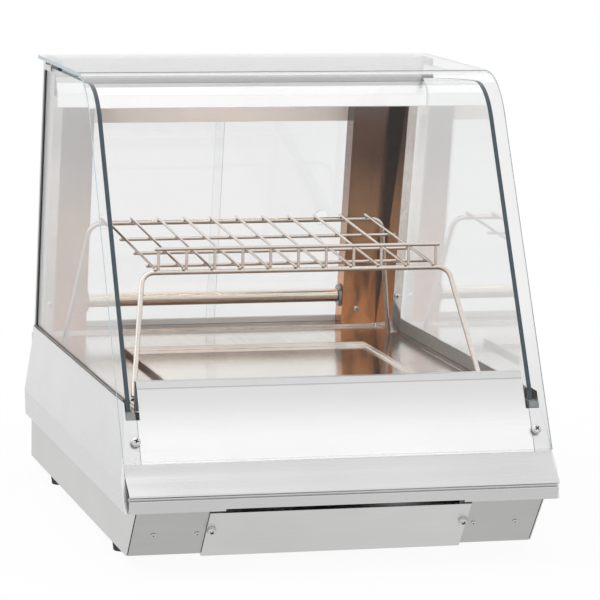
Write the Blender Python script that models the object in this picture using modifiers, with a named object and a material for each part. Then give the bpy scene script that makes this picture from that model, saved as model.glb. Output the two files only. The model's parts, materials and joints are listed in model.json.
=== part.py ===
"""Heated counter display case: bent front glass over a warm deck, wire rack, rear sliding doors."""
import math

import bpy
import bmesh
from mathutils import Matrix, Vector

# Driving sizes, in metres
case_width = 0.570
foot_height = 0.012
base_height = 0.0695
body_height = 0.1135
pane_rise = 0.4155
apron_reach = 0.341
back_reach = 0.390
lamp_length = 0.300
sheet = 0.0015
gap = 0.0003

# Slopes, as tangents of angles
front_slope = 0.565
back_lean = 0.172
base_rake = 0.814
cheek_spread = 0.045
rack_slope = 0.072

# Glass
pane_thick = 0.005
side_thick = 0.006
pane_overhang = 0.0126
pane_bend_radius = 0.100
pane_set_back = 0.0100
pane_foot_rise = 0.0595
pane_tail_inset = 0.0195
pane_hole_gap = 0.0008
side_pane_rise = 0.0040
side_pane_tail = 0.0180

# Side panels
strip_step = 0.0050
crease_step = 0.0171
crease_drop = 0.077
strip_height = 0.014
panel_rise = 0.016
band_draft = 0.0015
strip_inner = 0.0104
panel_back_inset = 0.038
nose_set = 0.0188

# Apron and lip
hem_height = 0.0095
hem_set_back = 0.0060
apron_rise = 0.040
apron_return = 0.012
apron_low = 0.0055
apron_side_gap = 0.0085
apron_low_inset = 0.0108
lip_inset = 0.0008
lip_reach = 0.0405
lip_nose_rise = 0.0225
lip_groove = 0.0070
lip_groove_height = 0.0024
lip_top_drop = 0.0020
lip_face = 0.0026
lip_edge = 0.0008
lip_draft = 0.0042
lip_back = 0.026
lip_sheet = 0.0012
slot_rise = 0.0030

# Base front and feet
base_set_in = 0.0398
corner_width = 0.0979
corner_gap = 0.0012
panel_joggle = 0.0030
joggle_width = 0.0165
cover_proud = 0.0030
cover_drop = 0.0060
cover_low = 0.0035
corner_screw_head = 0.0061
corner_screw_rise = 0.0317
corner_screw_inset = 0.0104
corner_screw_edge = 0.0304
thumb_rise = 0.0377
thumb_head = 0.0124
thumb_inset = 0.0065
foot_radius = 0.0145
foot_edge = 0.0010
foot_front_inset = 0.0912
foot_back_inset = 0.155

# Glass screws, blocks, seals and pads
pane_screw_head = 0.0122
pane_screw_edge = 0.0184
pane_screw_rise = 0.0226
block_drop = 0.0046
block_inner = 0.0033
seal_rise = 0.0170
seal_lip = 0.0060
seal_tail = 0.0035
seal_start = 0.014
seal_inner = 0.0012
seal_rear_proud = 0.0012
seal_top_gap = 0.0072
pad_start = -0.010
pad_length = 0.048
clip_leg = 0.0065
clip_sheet = 0.0012
clip_play = 0.0015

# Posts, crossbar, rails and doors
post_set_in = 0.018
post_inner_inset = 0.0818
post_corner_inset = 0.0284
post_elbow_inset = 0.0212
cheek_depth = 0.059
post_return = 0.0348
post_nose_drop = 0.0075
post_screw_head = 0.0090
post_screw_inset = 0.0599
post_screw_rise = 0.0275
flange_screw_inset = 0.0160
flange_screw_rise = 0.0548
bar_diameter = 0.020
bar_set_back = 0.0174
bar_rise = 0.0465
disc_diameter = 0.034
disc_thick = 0.004
sill_rise = 0.0035
sill_front = 0.0015
track_wall = 0.0014
track_height = 0.008
track_floor = 0.0025
head_rise = 0.3095
head_height = 0.022
head_groove = 0.010
header_thick = 0.003
door_thick = 0.0035
door_lap = 0.0074
door_overlap = 0.012
door_lift = 0.002
finger_inset = 0.024
finger_radius = 0.011

# Lamp hood
hood_run = 0.096
hood_drop = 0.0632
hood_fold = 0.020
hood_slope_run = 0.027
hood_lip = 0.012
hood_back_inset = 0.076
hood_sheet = 0.0012
lamp_diameter = 0.010
holder_height = 0.022
holder_width = 0.012
holder_thick = 0.008
reflector_edge = 0.006
reflector_flat = 0.016
reflector_drop = 0.010
reflector_overhang = 0.025
reflector_sheet = 0.0008

# Deck and tray
joint_inset = 0.0234
joint_width = 0.0045
joint_depth = 0.0007
tray_inset = 0.0949
tray_front_inset = 0.079
tray_back_inset = 0.182
tray_rim = 0.0065
tray_wall = 0.0030
heater_thick = 0.006
heater_side_inset = 0.0275
heater_inset = 0.030

# Rear controls
vent_levels = (0.030, 0.040, 0.050)
vent_count = 5
vent_inset = 0.0724
vent_clear = 0.115
vent_length = 0.040
vent_height = 0.004
gland_inset = 0.0674
gland_level = 0.045
gland_radius = 0.008
switch_inset = 0.1524
switch_width = 0.027
switch_height = 0.020
switch_depth = 0.018
switch_flange = 0.002
rocker_wall = 0.0022
rocker_deep = 0.0080
rocker_clear = 0.0003
rocker_play = 0.0012
rocker_proud = 0.0028
rocker_tip = 0.0006
rocker_root = 0.0030
rocker_pivot = 0.0020
knob_inset = 0.1524
knob_radius = 0.019
knob_height = 0.016
shaft_radius = 0.003
thermostat_size = 0.034

# Rack
rack_front_inset = 0.240
rack_back_inset = 0.137
rack_rise = 0.1543
rack_bar_inset = 0.0609
rack_foot_inset = 0.0334
front_foot_run = 0.080
back_foot_run = 0.050
rack_bend = 0.016
frame_rod = 0.0070
cross_rod = 0.0050
rod_inset = 0.0150
wire = 0.0040
wire_inset = 0.0045
wire_count = 11
wire_overhang = 0.008
fence_inset = 0.0160
fence_rise = 0.0264
weld_sink = 0.0006
join_distance = 0.00001

# Shares of a size
lip_slope_shares = (
    (0.12, 0.20),
    (0.25, 0.385),
    (0.41, 0.52),
    (0.59, 0.643),
    (0.76, 0.757),
    (0.90, 0.87),
    (0.975, 0.94),
)
rod_shares = (0.116, 0.365, 0.644)
rack_bend_shares = (0.0, 0.25, 0.5, 0.75, 1.0)
dome_share = 0.40
low_head_share = 0.26
core_share = 0.20
crown_share = 0.62
shoulder_share = 0.86
rim_share = 0.35
thumb_rise_share = 0.48
foot_taper_share = 0.88
neck_share = 0.6
skirt_share = 0.25
grip_share = 0.80
grip_bar_share = 0.22
gland_rim_share = 1.45
gland_bore_share = 0.55
gland_length_share = 1.2

# Heights, half widths and depths that follow
base_low = foot_height
base_top = base_low + base_height
deck_top = base_top + body_height
pane_top = deck_top + pane_rise
pane_foot = base_top + pane_foot_rise
pane_half = case_width / 2
side_half = pane_half - pane_overhang
side_inner = side_half - side_thick
crease_half = side_half + crease_step
strip_half = side_half + strip_step
strip_in = side_half - strip_inner
seal_half = strip_half - sheet - gap
lip_half = pane_half - lip_inset
panel_split = side_half - corner_width
slot_half = panel_split - joggle_width
corner_outer = side_half - sheet - corner_gap
corner_screw_inner = panel_split + corner_screw_inset
corner_screw_outer = side_half - corner_screw_edge
post_inner = side_half - post_inner_inset
post_corner = side_half - post_corner_inset
post_elbow = side_half - post_elbow_inset
post_screw_place = side_half - post_screw_inset
flange_screw_place = side_half - flange_screw_inset
joint_inner = side_half - joint_inset
tray_half = side_half - tray_inset
heater_half = tray_half - heater_side_inset
door_half = (post_inner + door_lap + door_overlap / 2) / 2
reflector_half = lamp_length / 2 + reflector_overhang
gland_place = side_half - gland_inset
switch_place = switch_inset - side_half
knob_place = side_half - knob_inset
vent_first = vent_inset - side_half
vent_pitch = (gland_place - vent_clear - vent_first) / (vent_count - 1)
rack_bar_half = side_half - rack_bar_inset
rack_foot_half = side_half - rack_foot_inset
rod_half = rack_bar_half - rod_inset
fence_half = rack_bar_half - fence_inset
wire_pitch = 2 * (rod_half - wire_inset) / (wire_count - 1)
panel_back = back_reach - panel_back_inset
post_reach = back_reach - post_set_in
base_nose = apron_reach - base_set_in
foot_front = foot_front_inset - base_nose
foot_back = back_reach - foot_back_inset
tray_front = tray_front_inset - apron_reach
tray_back = post_reach - tray_back_inset
hood_back = post_reach - hood_back_inset
hood_front = hood_back - hood_run
pad_front = hood_front + pad_start
pane_tail = hood_back - pane_tail_inset
rack_front = rack_front_inset - apron_reach
rack_back = post_reach - rack_back_inset
rack_front_foot = rack_front - front_foot_run
rack_back_foot = rack_back + back_foot_run
wire_back = rack_back + wire_overhang
wire_front = rack_front - frame_rod / 2
wire_shift = (wire + gap) / 2
post_outer = side_inner - gap - seal_inner - gap
pane_lift = pane_thick + gap
side_inset = pane_thick + pane_set_back
hood_top = pane_top - pane_thick - gap
door_slot = door_thick + 2 * gap
door_pitch = door_slot + track_wall
track_start = post_return + gap
track_depth = 2 * door_slot + 3 * track_wall
sill_back = track_start + track_depth + track_wall
front_normal = math.sqrt(1 + front_slope ** 2)
base_normal = math.sqrt(1 + base_rake ** 2)
control_level = (base_top + deck_top) / 2
depth_middle = (post_reach + sill_back - apron_reach - lip_reach) / 2
mirror_sides = (("left", -1), ("right", 1))

# Directions that screws stand in
apron_out = Vector((0, -1, front_slope)).normalized()
base_out = Vector((0, -1, -base_rake)).normalized()
post_out = Vector((0, -1, -back_lean)).normalized()

parts = bpy.data.collections.new("heated_display_case")
tools = bpy.data.collections.new("cutters")


def start():
    """Empty scene with one collection for the parts and one for the cutters."""
    for old in list(bpy.data.objects):
        bpy.data.objects.remove(old, do_unlink=True)
    bpy.context.scene.collection.children.link(parts)
    bpy.context.scene.collection.children.link(tools)


# Materials
def dress(body, kind):
    """Own material for each sub-part, of the kind it is made of."""
    looks = {
        "steel": ((0.72, 0.72, 0.71), 0.3, 1.0, 0.0),
        "satin": ((0.84, 0.84, 0.83), 0.35, 0.8, 0.0),
        "glass": ((0.80, 0.88, 0.87), 0.03, 0.0, 1.0),
        "black": ((0.03, 0.03, 0.03), 0.6, 0.0, 0.0),
        "ceramic": ((0.85, 0.82, 0.74), 0.7, 0.0, 0.0),
        "quartz": ((0.95, 0.72, 0.42), 0.1, 0.0, 0.6),
    }
    colour, rough, metal, clear = looks[kind]
    made = bpy.data.materials.new(body.name)
    made.use_nodes = True
    shader = made.node_tree.nodes["Principled BSDF"]
    shader.inputs["Base Color"].default_value = (*colour, 1.0)
    shader.inputs["Roughness"].default_value = rough
    shader.inputs["Metallic"].default_value = metal
    shader.inputs["Transmission Weight"].default_value = clear
    body.data.materials.clear()
    body.data.materials.append(made)
    return body


# Ways of making a shape
def tidy(mesh):
    """Joins doubled corners and turns the faces outward."""
    shape = bmesh.new()
    shape.from_mesh(mesh)
    bmesh.ops.remove_doubles(shape, verts=shape.verts, dist=join_distance)
    bmesh.ops.recalc_face_normals(shape, faces=shape.faces)
    shape.to_mesh(mesh)
    shape.free()
    return mesh


def keep(name, mesh, home=parts):
    body = bpy.data.objects.new(name, mesh)
    home.objects.link(body)
    return body


def meshed(curve, name):
    """Mesh of a curve, with its loose caps joined."""
    holder = keep(name, curve, tools)
    view = bpy.context.evaluated_depsgraph_get()
    mesh = bpy.data.meshes.new_from_object(holder.evaluated_get(view))
    bpy.data.objects.remove(holder, do_unlink=True)
    return tidy(mesh)


def fixed(body):
    """Writes the modifiers of a body into its mesh."""
    view = bpy.context.evaluated_depsgraph_get()
    mesh = bpy.data.meshes.new_from_object(body.evaluated_get(view))
    body.modifiers.clear()
    body.data = tidy(mesh)
    return body


def drawn(name, points, ends, axis):
    """Closed drawing across the axis, pulled between two places along it."""
    ways = {
        "X": ((0, 0, 1), (1, 0, 0), (0, 1, 0)),
        "Y": ((1, 0, 0), (0, 0, -1), (0, 1, 0)),
        "Z": ((1, 0, 0), (0, 1, 0), (0, 0, 1)),
    }
    curve = bpy.data.curves.new(name, "CURVE")
    curve.dimensions = "2D"
    curve.fill_mode = "BOTH"
    curve.extrude = (ends[1] - ends[0]) / 2
    line = curve.splines.new("POLY")
    line.points.add(len(points) - 1)
    for spot, (a, b) in zip(line.points, points):
        spot.co = (a, b, 0, 1)
    line.use_cyclic_u = True
    mesh = meshed(curve, name)
    middle = (ends[0] + ends[1]) / 2
    shift = -middle if axis == "Y" else middle
    mesh.transform(Matrix(ways[axis]).to_4x4() @ Matrix.Translation((0, 0, shift)))
    return mesh


def block(name, outline, ends, axis, home=parts):
    """Solid of one outline between two places along the axis."""
    return keep(name, drawn(name, outline, ends, axis), home)


def box(name, low, high, home=parts):
    outline = [(low[0], low[1]), (high[0], low[1]), (high[0], high[1]), (low[0], high[1])]
    return block(name, outline, (low[2], high[2]), "Z", home)


def sheet_outline(line, thick, turn):
    """Closed outline of a folded line, thickened to its left for turn 1 or right for -1."""
    count = len(line)
    ways = []
    for i in range(count - 1):
        run = Vector(line[i + 1]) - Vector(line[i])
        run.normalize()
        ways.append(Vector((-run.y, run.x)) * turn)
    moved = []
    for i in range(count):
        first = ways[max(i - 1, 0)]
        second = ways[min(i, count - 2)]
        share = thick / (1 + first.dot(second))
        moved.append(tuple(Vector(line[i]) + (first + second) * share))
    return list(line) + moved[::-1]


def bent(name, line, ends, axis, thick, turn, home=parts):
    """Folded sheet: the outline of its bends pulled along the axis."""
    return block(name, sheet_outline(line, thick, turn), ends, axis, home)


def combine(body, other, way):
    step = body.modifiers.new(way.lower(), "BOOLEAN")
    step.operation = way
    step.solver = "EXACT"
    step.object = other
    fixed(body)
    bpy.data.objects.remove(other, do_unlink=True)
    return body


def cut(body, other):
    return combine(body, other, "DIFFERENCE")


def weld(body, other):
    return combine(body, other, "UNION")


def lathe(name, profile, steps, home=parts):
    """Round piece about its own Z axis; the profile runs from top to bottom."""
    mesh = bpy.data.meshes.new(name)
    rows = [(reach, 0, level) for reach, level in profile]
    joins = [(i, i + 1) for i in range(len(rows) - 1)]
    mesh.from_pydata(rows, joins, [])
    body = keep(name, mesh, home)
    spin = body.modifiers.new("round", "SCREW")
    spin.axis = "Z"
    spin.steps = steps
    spin.render_steps = steps
    spin.use_merge_vertices = True
    spin.merge_threshold = join_distance
    fixed(body)
    for face in body.data.polygons:
        face.use_smooth = True
    return body


def aim(body, place, towards):
    """Puts a round piece at a place with its Z axis along a direction."""
    body.rotation_mode = "QUATERNION"
    body.rotation_quaternion = Vector(towards).to_track_quat("Z", "Y")
    body.location = place
    bpy.context.view_layer.update()
    return body


def rod(name, points, diameter, home=parts):
    """Round rod through the points."""
    curve = bpy.data.curves.new(name, "CURVE")
    curve.dimensions = "3D"
    curve.bevel_depth = diameter / 2
    curve.bevel_resolution = 2
    curve.use_fill_caps = True
    line = curve.splines.new("POLY")
    line.points.add(len(points) - 1)
    for spot, place in zip(line.points, points):
        spot.co = (*place, 1)
    return keep(name, meshed(curve, name), home)


def hole(place, towards, radius, reach):
    """Cutter for a round hole through a place."""
    body = lathe("hole", [(0, reach), (radius, reach), (radius, -reach), (0, -reach)], 20, tools)
    return aim(body, place, towards)


def screw(name, place, towards, head, length, rise_share):
    """Screw with a rounded head, standing on a surface."""
    rise = head * rise_share
    rim = head / 2
    core = head * core_share
    crown = [(0, rise), (rim * crown_share, rise * shoulder_share), (rim, rise * rim_share), (rim, 0)]
    shaft = [(core, 0), (core, -length), (0, -length)]
    body = aim(lathe(name, crown + shaft, 20), place, towards)
    return dress(body, "steel")


# Planes and curves that the pieces follow
def apron_y(level, lift=0.0):
    """Front face of the slanted front at a height; lift is measured along its normal."""
    return -apron_reach + front_slope * (level - pane_foot) - lift * front_normal


def base_y(level, lift=0.0):
    """Front face of the raked base at a height; lift is measured along its normal."""
    return -base_nose - base_rake * (level - base_low) - lift * base_normal


def post_y(level, behind=0.0):
    """Leaning rear plane at a height, or a plane level behind it."""
    return post_reach - back_lean * (level - deck_top) + behind


def across(side, near, far):
    """Sorted pair of X places on one side of the case."""
    return tuple(sorted((side * near, side * far)))


def pane_line(inset, end):
    """Line of the front pane in a side view, set in from its outer face."""
    level = pane_top - pane_bend_radius
    centre = apron_y(level, pane_lift) + pane_bend_radius * front_normal
    first = math.radians(180) - math.atan(front_slope)
    last = math.radians(90)
    radius = pane_bend_radius - inset
    spots = [(apron_y(pane_foot, pane_lift - inset), pane_foot)]
    for i in range(13):
        angle = first + (last - first) * i / 12
        spots.append((centre + radius * math.cos(angle), level + radius * math.sin(angle)))
    spots.append((end, pane_top - inset))
    return spots


# Base
def base_shell():
    """Open tub of sheet: floor, two sides with raked front edges, and the rear wall."""
    outline = [
        (base_y(base_low), base_low),
        (back_reach, base_low),
        (back_reach, base_top),
        (base_y(base_top), base_top),
    ]
    body = block("base_shell", outline, (-side_half, side_half), "X")
    front = -2 * apron_reach
    above = base_top + sheet
    floor = base_low + sheet
    over = floor + sheet
    under = base_low - sheet
    set_in = -sheet - gap
    hollow = [
        (front, under),
        (base_y(under, set_in), under),
        (base_y(floor, set_in), floor),
        (back_reach - sheet, floor),
        (back_reach - sheet, above),
        (front, above),
    ]
    half = side_half - sheet
    cut(body, block("hollow", hollow, (-half, half), "X", tools))
    deep = set_in - panel_joggle / base_normal
    notch = [(front, under), (front, over), (base_y(over, deep), over), (base_y(under, deep), under)]
    half = panel_split + 2 * sheet
    cut(body, block("notch", notch, (-half, half), "X", tools))
    for level in vent_levels:
        for i in range(vent_count):
            place = vent_first + vent_pitch * i
            low = (place, back_reach - 2 * sheet, level)
            high = (place + vent_length, back_reach + sheet, level + vent_height)
            cut(body, box("vent", low, high, tools))
    cut(body, hole((gland_place, back_reach, gland_level), (0, 1, 0), gland_radius + gap, 3 * sheet))
    return dress(body, "satin")


def corner_screw_spot(side, reach):
    level = base_low + corner_screw_rise
    return Vector((side * reach, base_y(level, gap), level))


def corner_panel(word, side):
    """Raked front sheet, with a joggled edge that carries the access cover."""
    plan = [
        (side * corner_outer, -base_nose),
        (side * panel_split, -base_nose),
        (side * panel_split, -base_nose + panel_joggle),
        (side * (panel_split - joggle_width), -base_nose + panel_joggle),
    ]
    ends = (base_low, base_top - gap)
    body = bent("corner_panel_" + word, plan, ends, "Z", sheet * base_normal, -side)
    for corner in body.data.vertices:
        corner.co.y -= base_rake * (corner.co.z - base_low)
    for reach in (corner_screw_inner, corner_screw_outer):
        spot = corner_screw_spot(side, reach)
        cut(body, hole(spot, base_out, corner_screw_head * core_share + gap, 4 * sheet))
    cut(body, hole(thumb_spot(side), base_out, thumb_head * core_share + 3 * gap, 8 * sheet))
    return dress(body, "satin")


def thumb_spot(side):
    level = base_low + thumb_rise
    return Vector((side * (panel_split - thumb_inset), base_y(level, cover_proud + gap), level))


def cover_back(level):
    """Depth of the rear edges of the access cover at a height."""
    return base_y(level, gap - panel_joggle / base_normal)


def access_cover():
    """Shallow pan that hooks under the base and tips out, a little proud of the corner panels."""
    low = base_low - cover_low
    top = base_top - cover_drop
    half = panel_split - 2 * gap
    outline = [
        (cover_back(top), top),
        (base_y(top, cover_proud), top),
        (base_y(low, cover_proud), low),
        (cover_back(low), low),
    ]
    body = block("access_cover", outline, (-half, half), "X")
    inner = [
        (cover_back(top - sheet) + 2 * sheet, top - sheet),
        (base_y(top - sheet, cover_proud - sheet), top - sheet),
        (base_y(low + sheet, cover_proud - sheet), low + sheet),
        (cover_back(low + sheet) + 2 * sheet, low + sheet),
    ]
    cut(body, block("hollow", inner, (-half + sheet, half - sheet), "X", tools))
    for side in (-1, 1):
        cut(body, hole(thumb_spot(side), base_out, thumb_head * core_share + gap, 4 * sheet))
    return dress(body, "satin")


def thumb_screw(word, side):
    """Screw with a tall round head that holds the access cover."""
    rim = thumb_head / 2
    rise = thumb_head * thumb_rise_share
    core = thumb_head * core_share
    reach = cover_proud + gap + 2 * panel_joggle / base_normal
    head = [(0, rise), (rim * shoulder_share, rise), (rim, rise * shoulder_share)]
    head += [(rim, rise * rim_share)]
    shaft = [(rim * crown_share, 0), (core, 0), (core, -reach), (0, -reach)]
    body = aim(lathe("thumb_screw_" + word, head + shaft, 24), thumb_spot(side), base_out)
    return dress(body, "steel")


def foot(name, side, place):
    """Rubber foot, a little narrower at the ground."""
    top = foot_height - gap
    low = foot_radius * foot_taper_share
    body = lathe(name, [(0, top), (foot_radius, top), (low, 0), (0, 0)], 28)
    body.location = (side * (side_half - foot_radius - foot_edge), place, 0)
    return dress(body, "black")


# Housing
def side_panel(word, side):
    """Flared folded sheet under a side glass, with a front flange in the slanted plane."""
    top = deck_top + panel_rise
    strip = top - strip_height
    crease = deck_top - crease_drop
    low = base_top + gap
    band = crease_half - band_draft
    far_front = -2 * apron_reach
    shape = [
        (strip_in, low),
        (band, low),
        (crease_half, crease),
        (strip_half, strip),
        (strip_half, top),
        (strip_in, top),
    ]
    inside = [
        (strip_in - sheet, low + sheet),
        (band - sheet, low + sheet),
        (crease_half - sheet, crease),
        (strip_half - sheet, strip),
        (strip_half - sheet, top + sheet),
        (strip_in - sheet, top + sheet),
    ]
    wide = (-case_width, case_width)
    shape = [(side * a, b) for a, b in shape]
    inside = [(side * a, b) for a, b in inside]
    body = block("side_panel_" + word, shape, (far_front, panel_back), "Y")
    hollow = block("hollow", inside, (far_front, panel_back + sheet), "Y", tools)
    above = top + strip_height
    below = low - sheet
    edge = [(apron_y(above), above), (apron_y(crease), crease), (apron_y(crease) - nose_set, below)]
    inner_edge = [(a + sheet * front_normal, b) for a, b in edge]
    ahead = 2 * far_front
    cut(body, block("nose", [(ahead, below), (ahead, above)] + edge, wide, "X", tools))
    cut(hollow, block("inner_nose", [(ahead, below), (ahead, above)] + inner_edge, wide, "X", tools))
    cut(body, hollow)
    near, far = across(side, strip_in - sheet, strip_half - sheet)
    notch_low = deck_top - block_drop
    cut(body, box("notch", (near, far_front, notch_low), (far, 0, top + sheet), tools))
    radius = pane_screw_head * core_share + gap
    cut(body, hole(pane_screw_spot(side, 0.0), apron_out, radius, 4 * sheet))
    return dress(body, "satin")


def pane_screw_spot(side, lift):
    level = pane_foot + pane_screw_rise
    return Vector((side * (pane_half - pane_screw_edge), apron_y(level), level)) + apron_out * lift


def apron():
    """Slanted front sheet, hemmed along its top and turned back and down to the deck."""
    low = base_top + apron_low
    top = deck_top + apron_rise
    hem = top - hem_height
    turn = apron_y(hem) + hem_set_back
    line = [
        (apron_y(low) + apron_return, low),
        (apron_y(low), low),
        (apron_y(hem), hem),
        (turn, top),
        (turn + apron_return, top),
        (turn + apron_return, deck_top + gap),
    ]
    half = side_half - apron_low_inset
    narrow = side_inner - apron_side_gap
    body = bent("apron", line, (-half, half), "X", sheet, -1)
    shoulder = deck_top - block_drop
    for side in (-1, 1):
        near, far = across(side, narrow, pane_half)
        cut(body, box("corner", (near, -case_width, shoulder), (far, 0, pane_top), tools))
    return dress(body, "satin")


def lip():
    """Nose along the foot of the front: slope, rounded fold, groove and a drop with an air slot."""
    rise = base_top + lip_nose_rise
    reach = -apron_reach - lip_reach
    start_z = pane_foot - lip_top_drop
    start_y = apron_y(start_z, lip_sheet + gap)
    line = [(start_y, start_z)]
    for along, down in lip_slope_shares:
        line.append((start_y + (reach - start_y) * along, start_z + (rise - start_z) * down))
    groove_top = rise - lip_groove_height
    groove_low = groove_top - lip_groove_height
    line += [
        (reach, rise),
        (reach + lip_groove / 2, groove_top),
        (reach + lip_groove, groove_top),
        (reach + lip_groove, groove_low),
        (reach + lip_face, groove_low - lip_edge),
        (reach + lip_face + lip_draft, base_top),
        (reach + lip_back, base_top),
    ]
    body = bent("lip", line, (-lip_half, lip_half), "X", lip_sheet, 1)
    leg = reach + lip_face + lip_draft + 2 * lip_sheet
    narrow = side_half - apron_low_inset
    for side in (-1, 1):
        near, far = across(side, narrow, case_width)
        low = (near, leg, base_top - sheet)
        high = (far, 0, base_top + lip_sheet + gap)
        cut(body, box("corner", low, high, tools))
    low = (-slot_half, 2 * reach, base_top - sheet)
    high = (slot_half, 0, base_top + slot_rise)
    cut(body, box("air_slot", low, high, tools))
    return dress(body, "satin")


# Glazing
def front_pane():
    """Glass bent once between the straight front and the flat top."""
    outline = pane_line(0, pane_tail) + pane_line(pane_thick, pane_tail)[::-1]
    body = block("front_pane", outline, (-pane_half, pane_half), "X")
    radius = pane_screw_head * core_share + pane_hole_gap
    for side in (-1, 1):
        cut(body, hole(pane_screw_spot(side, pane_thick), apron_out, radius, 2 * pane_thick))
    return dress(body, "glass")


def side_pane(word, side):
    """Flat side glass whose front edge follows the bent pane."""
    low = deck_top + side_pane_rise
    top = pane_top - side_inset
    line = pane_line(side_inset, post_y(top, -side_pane_tail))
    tail = (post_y(low, -side_pane_tail), low)
    outline = [tail, (apron_y(low, pane_lift - side_inset), low)] + line[1:]
    body = block("side_pane_" + word, outline, across(side, side_inner, side_half), "X")
    return dress(body, "glass")


def seal_front():
    """Depth where the seal of a side glass starts, behind the block."""
    return apron_y(deck_top, pane_lift - side_inset) + seal_start


def pane_seal(word, side):
    """Dark channel under and behind a side glass."""
    low = deck_top + gap
    cap = deck_top + seal_rise
    tail = seal_tail - side_pane_tail
    lap = tail - seal_tail - seal_lip
    top = pane_top - side_inset - seal_top_gap
    inner = side_inner - gap - seal_inner
    outline = [
        (seal_front(), low),
        (post_y(low, tail), low),
        (post_y(top, tail), top),
        (post_y(top, lap), top),
        (post_y(cap, lap), cap),
        (seal_front(), cap),
    ]
    body = block("pane_seal_" + word, outline, across(side, inner, seal_half), "X")
    near, far = across(side, side_half + seal_rear_proud, case_width)
    cut(body, box("relief", (near, 0, cap), (far, case_width, pane_top), tools))
    edge = deck_top + side_pane_rise - gap
    above = pane_top
    slot = [
        (-case_width, edge),
        (post_y(edge, gap - side_pane_tail), edge),
        (post_y(above, gap - side_pane_tail), above),
        (-case_width, above),
    ]
    cut(body, block("slot", slot, across(side, side_inner - gap, side_half + gap), "X", tools))
    return dress(body, "black")


def pane_block(word, side):
    """Small block under the front end of a side glass."""
    low = deck_top - block_drop + gap
    top = deck_top + side_pane_rise - gap
    back = seal_front() - gap
    outline = [(apron_y(low), low), (back, low), (back, top), (apron_y(top), top)]
    ends = across(side, side_inner - block_inner, seal_half)
    return dress(block("pane_block_" + word, outline, ends, "X"), "black")


def pane_screw(word, side):
    """Domed screw through the front pane into the side panel's flange."""
    spot = pane_screw_spot(side, pane_lift + gap)
    length = pane_lift + 3 * sheet
    return screw("pane_screw_" + word, spot, apron_out, pane_screw_head, length, dome_share)


def pane_pad(word, side):
    """Dark pad between a side glass and the flat top of the front pane."""
    near, far = across(side, side_inner, side_half)
    low = (near, pad_front, pane_top - side_inset + gap)
    high = (far, pad_front + pad_length, hood_top)
    return dress(box("pane_pad_" + word, low, high), "black")


def pane_clip(word, side):
    """Folded clip over the rear top corner of a side glass."""
    edge = pane_top - side_inset
    outer = side * (side_half + gap)
    inner = side * (side_inner - gap)
    line = [(outer, edge - clip_leg), (outer, edge + gap), (inner, edge + gap), (inner, edge - clip_leg)]
    start = pad_front + pad_length + clip_play
    end = post_y(edge, seal_tail - side_pane_tail) - clip_play
    return dress(bent("pane_clip_" + word, line, (start, end), "Y", clip_sheet, -side), "satin")


# Rear frame
def post(word, side):
    """Leaning column of folded sheet whose outer edge wraps the rear of a side glass."""
    low = deck_top + gap
    top = hood_top - hood_sheet - gap
    wrap = seal_tail - side_pane_tail + gap
    plan = [
        (post_inner, post_return),
        (post_inner, 0),
        (post_corner, 0),
        (post_elbow, -cheek_depth),
        (post_outer, -cheek_depth),
        (post_outer, wrap),
        (side_half, wrap),
        (side_half, 0),
    ]
    body = bent("post_" + word, [(side * a, b) for a, b in plan], (low, top), "Z", sheet, side)
    for corner in body.data.vertices:
        rise = corner.co.z - deck_top
        spread = cheek_spread * rise if corner.co.y < -cheek_depth / 2 else 0
        corner.co.y += post_reach - back_lean * rise - spread
    near, far = across(side, 0, case_width)
    sill = post_reach - sill_front - gap
    level = deck_top + sill_rise + gap
    cut(body, box("sill", (near, sill, 0), (far, case_width, level), tools))
    nose = post_y(top, -cheek_depth / 2)
    cut(body, box("nose", (near, 0, top - post_nose_drop), (far, nose, pane_top), tools))
    radius = post_screw_head * core_share + gap
    cut(body, hole(post_screw_spot(side, 0), post_out, radius, 4 * sheet))
    cut(body, hole(flange_screw_spot(side, 0), post_out, radius, 4 * sheet))
    return dress(body, "steel")


def post_screw_spot(side, lift):
    level = deck_top + post_screw_rise
    return Vector((side * post_screw_place, post_y(level, -lift), level))


def flange_screw_spot(side, lift):
    level = deck_top + flange_screw_rise
    depth = -cheek_depth - cheek_spread * flange_screw_rise - lift
    return Vector((side * flange_screw_place, post_y(level, depth), level))


def crossbar():
    """Tube between the returns of the posts."""
    level = deck_top + bar_rise
    reach = post_inner - disc_thick - 2 * gap
    rim = bar_diameter / 2
    body = lathe("crossbar", [(0, reach), (rim, reach), (rim, -reach), (0, -reach)], 28)
    aim(body, (0, post_y(level, bar_set_back), level), (1, 0, 0))
    return dress(body, "steel")


def crossbar_disc(word, side):
    """Round end flange of the crossbar, on the inner return of a post."""
    level = deck_top + bar_rise
    rim = disc_diameter / 2
    edge = rim - disc_thick / 2
    profile = [(0, 0), (rim, 0), (rim, -disc_thick * rim_share), (edge, -disc_thick), (0, -disc_thick)]
    body = lathe("crossbar_disc_" + word, profile, 28)
    aim(body, (side * (post_inner - gap), post_y(level, bar_set_back), level), (side, 0, 0))
    return dress(body, "steel")


def leaning(name, near, far, low, top, ends, home=parts):
    """Bar between two heights and two depths behind the leaning plane."""
    outline = [
        (post_y(low, near), low),
        (post_y(low, far), low),
        (post_y(top, far), top),
        (post_y(top, near), top),
    ]
    return block(name, outline, ends, "X", home)


def lower_track():
    """Rail on the sill with two grooves for the doors."""
    low = deck_top + sill_rise + gap
    top = low + track_height
    ends = (-post_corner, post_corner)
    wide = (-case_width, case_width)
    body = leaning("lower_track", track_start, track_start + track_depth, low, top, ends)
    for which in (0, 1):
        near = track_start + track_wall + which * door_pitch
        cut(body, leaning("groove", near, near + door_slot, low + track_floor, top + sheet, wide, tools))
    return dress(body, "steel")


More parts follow.
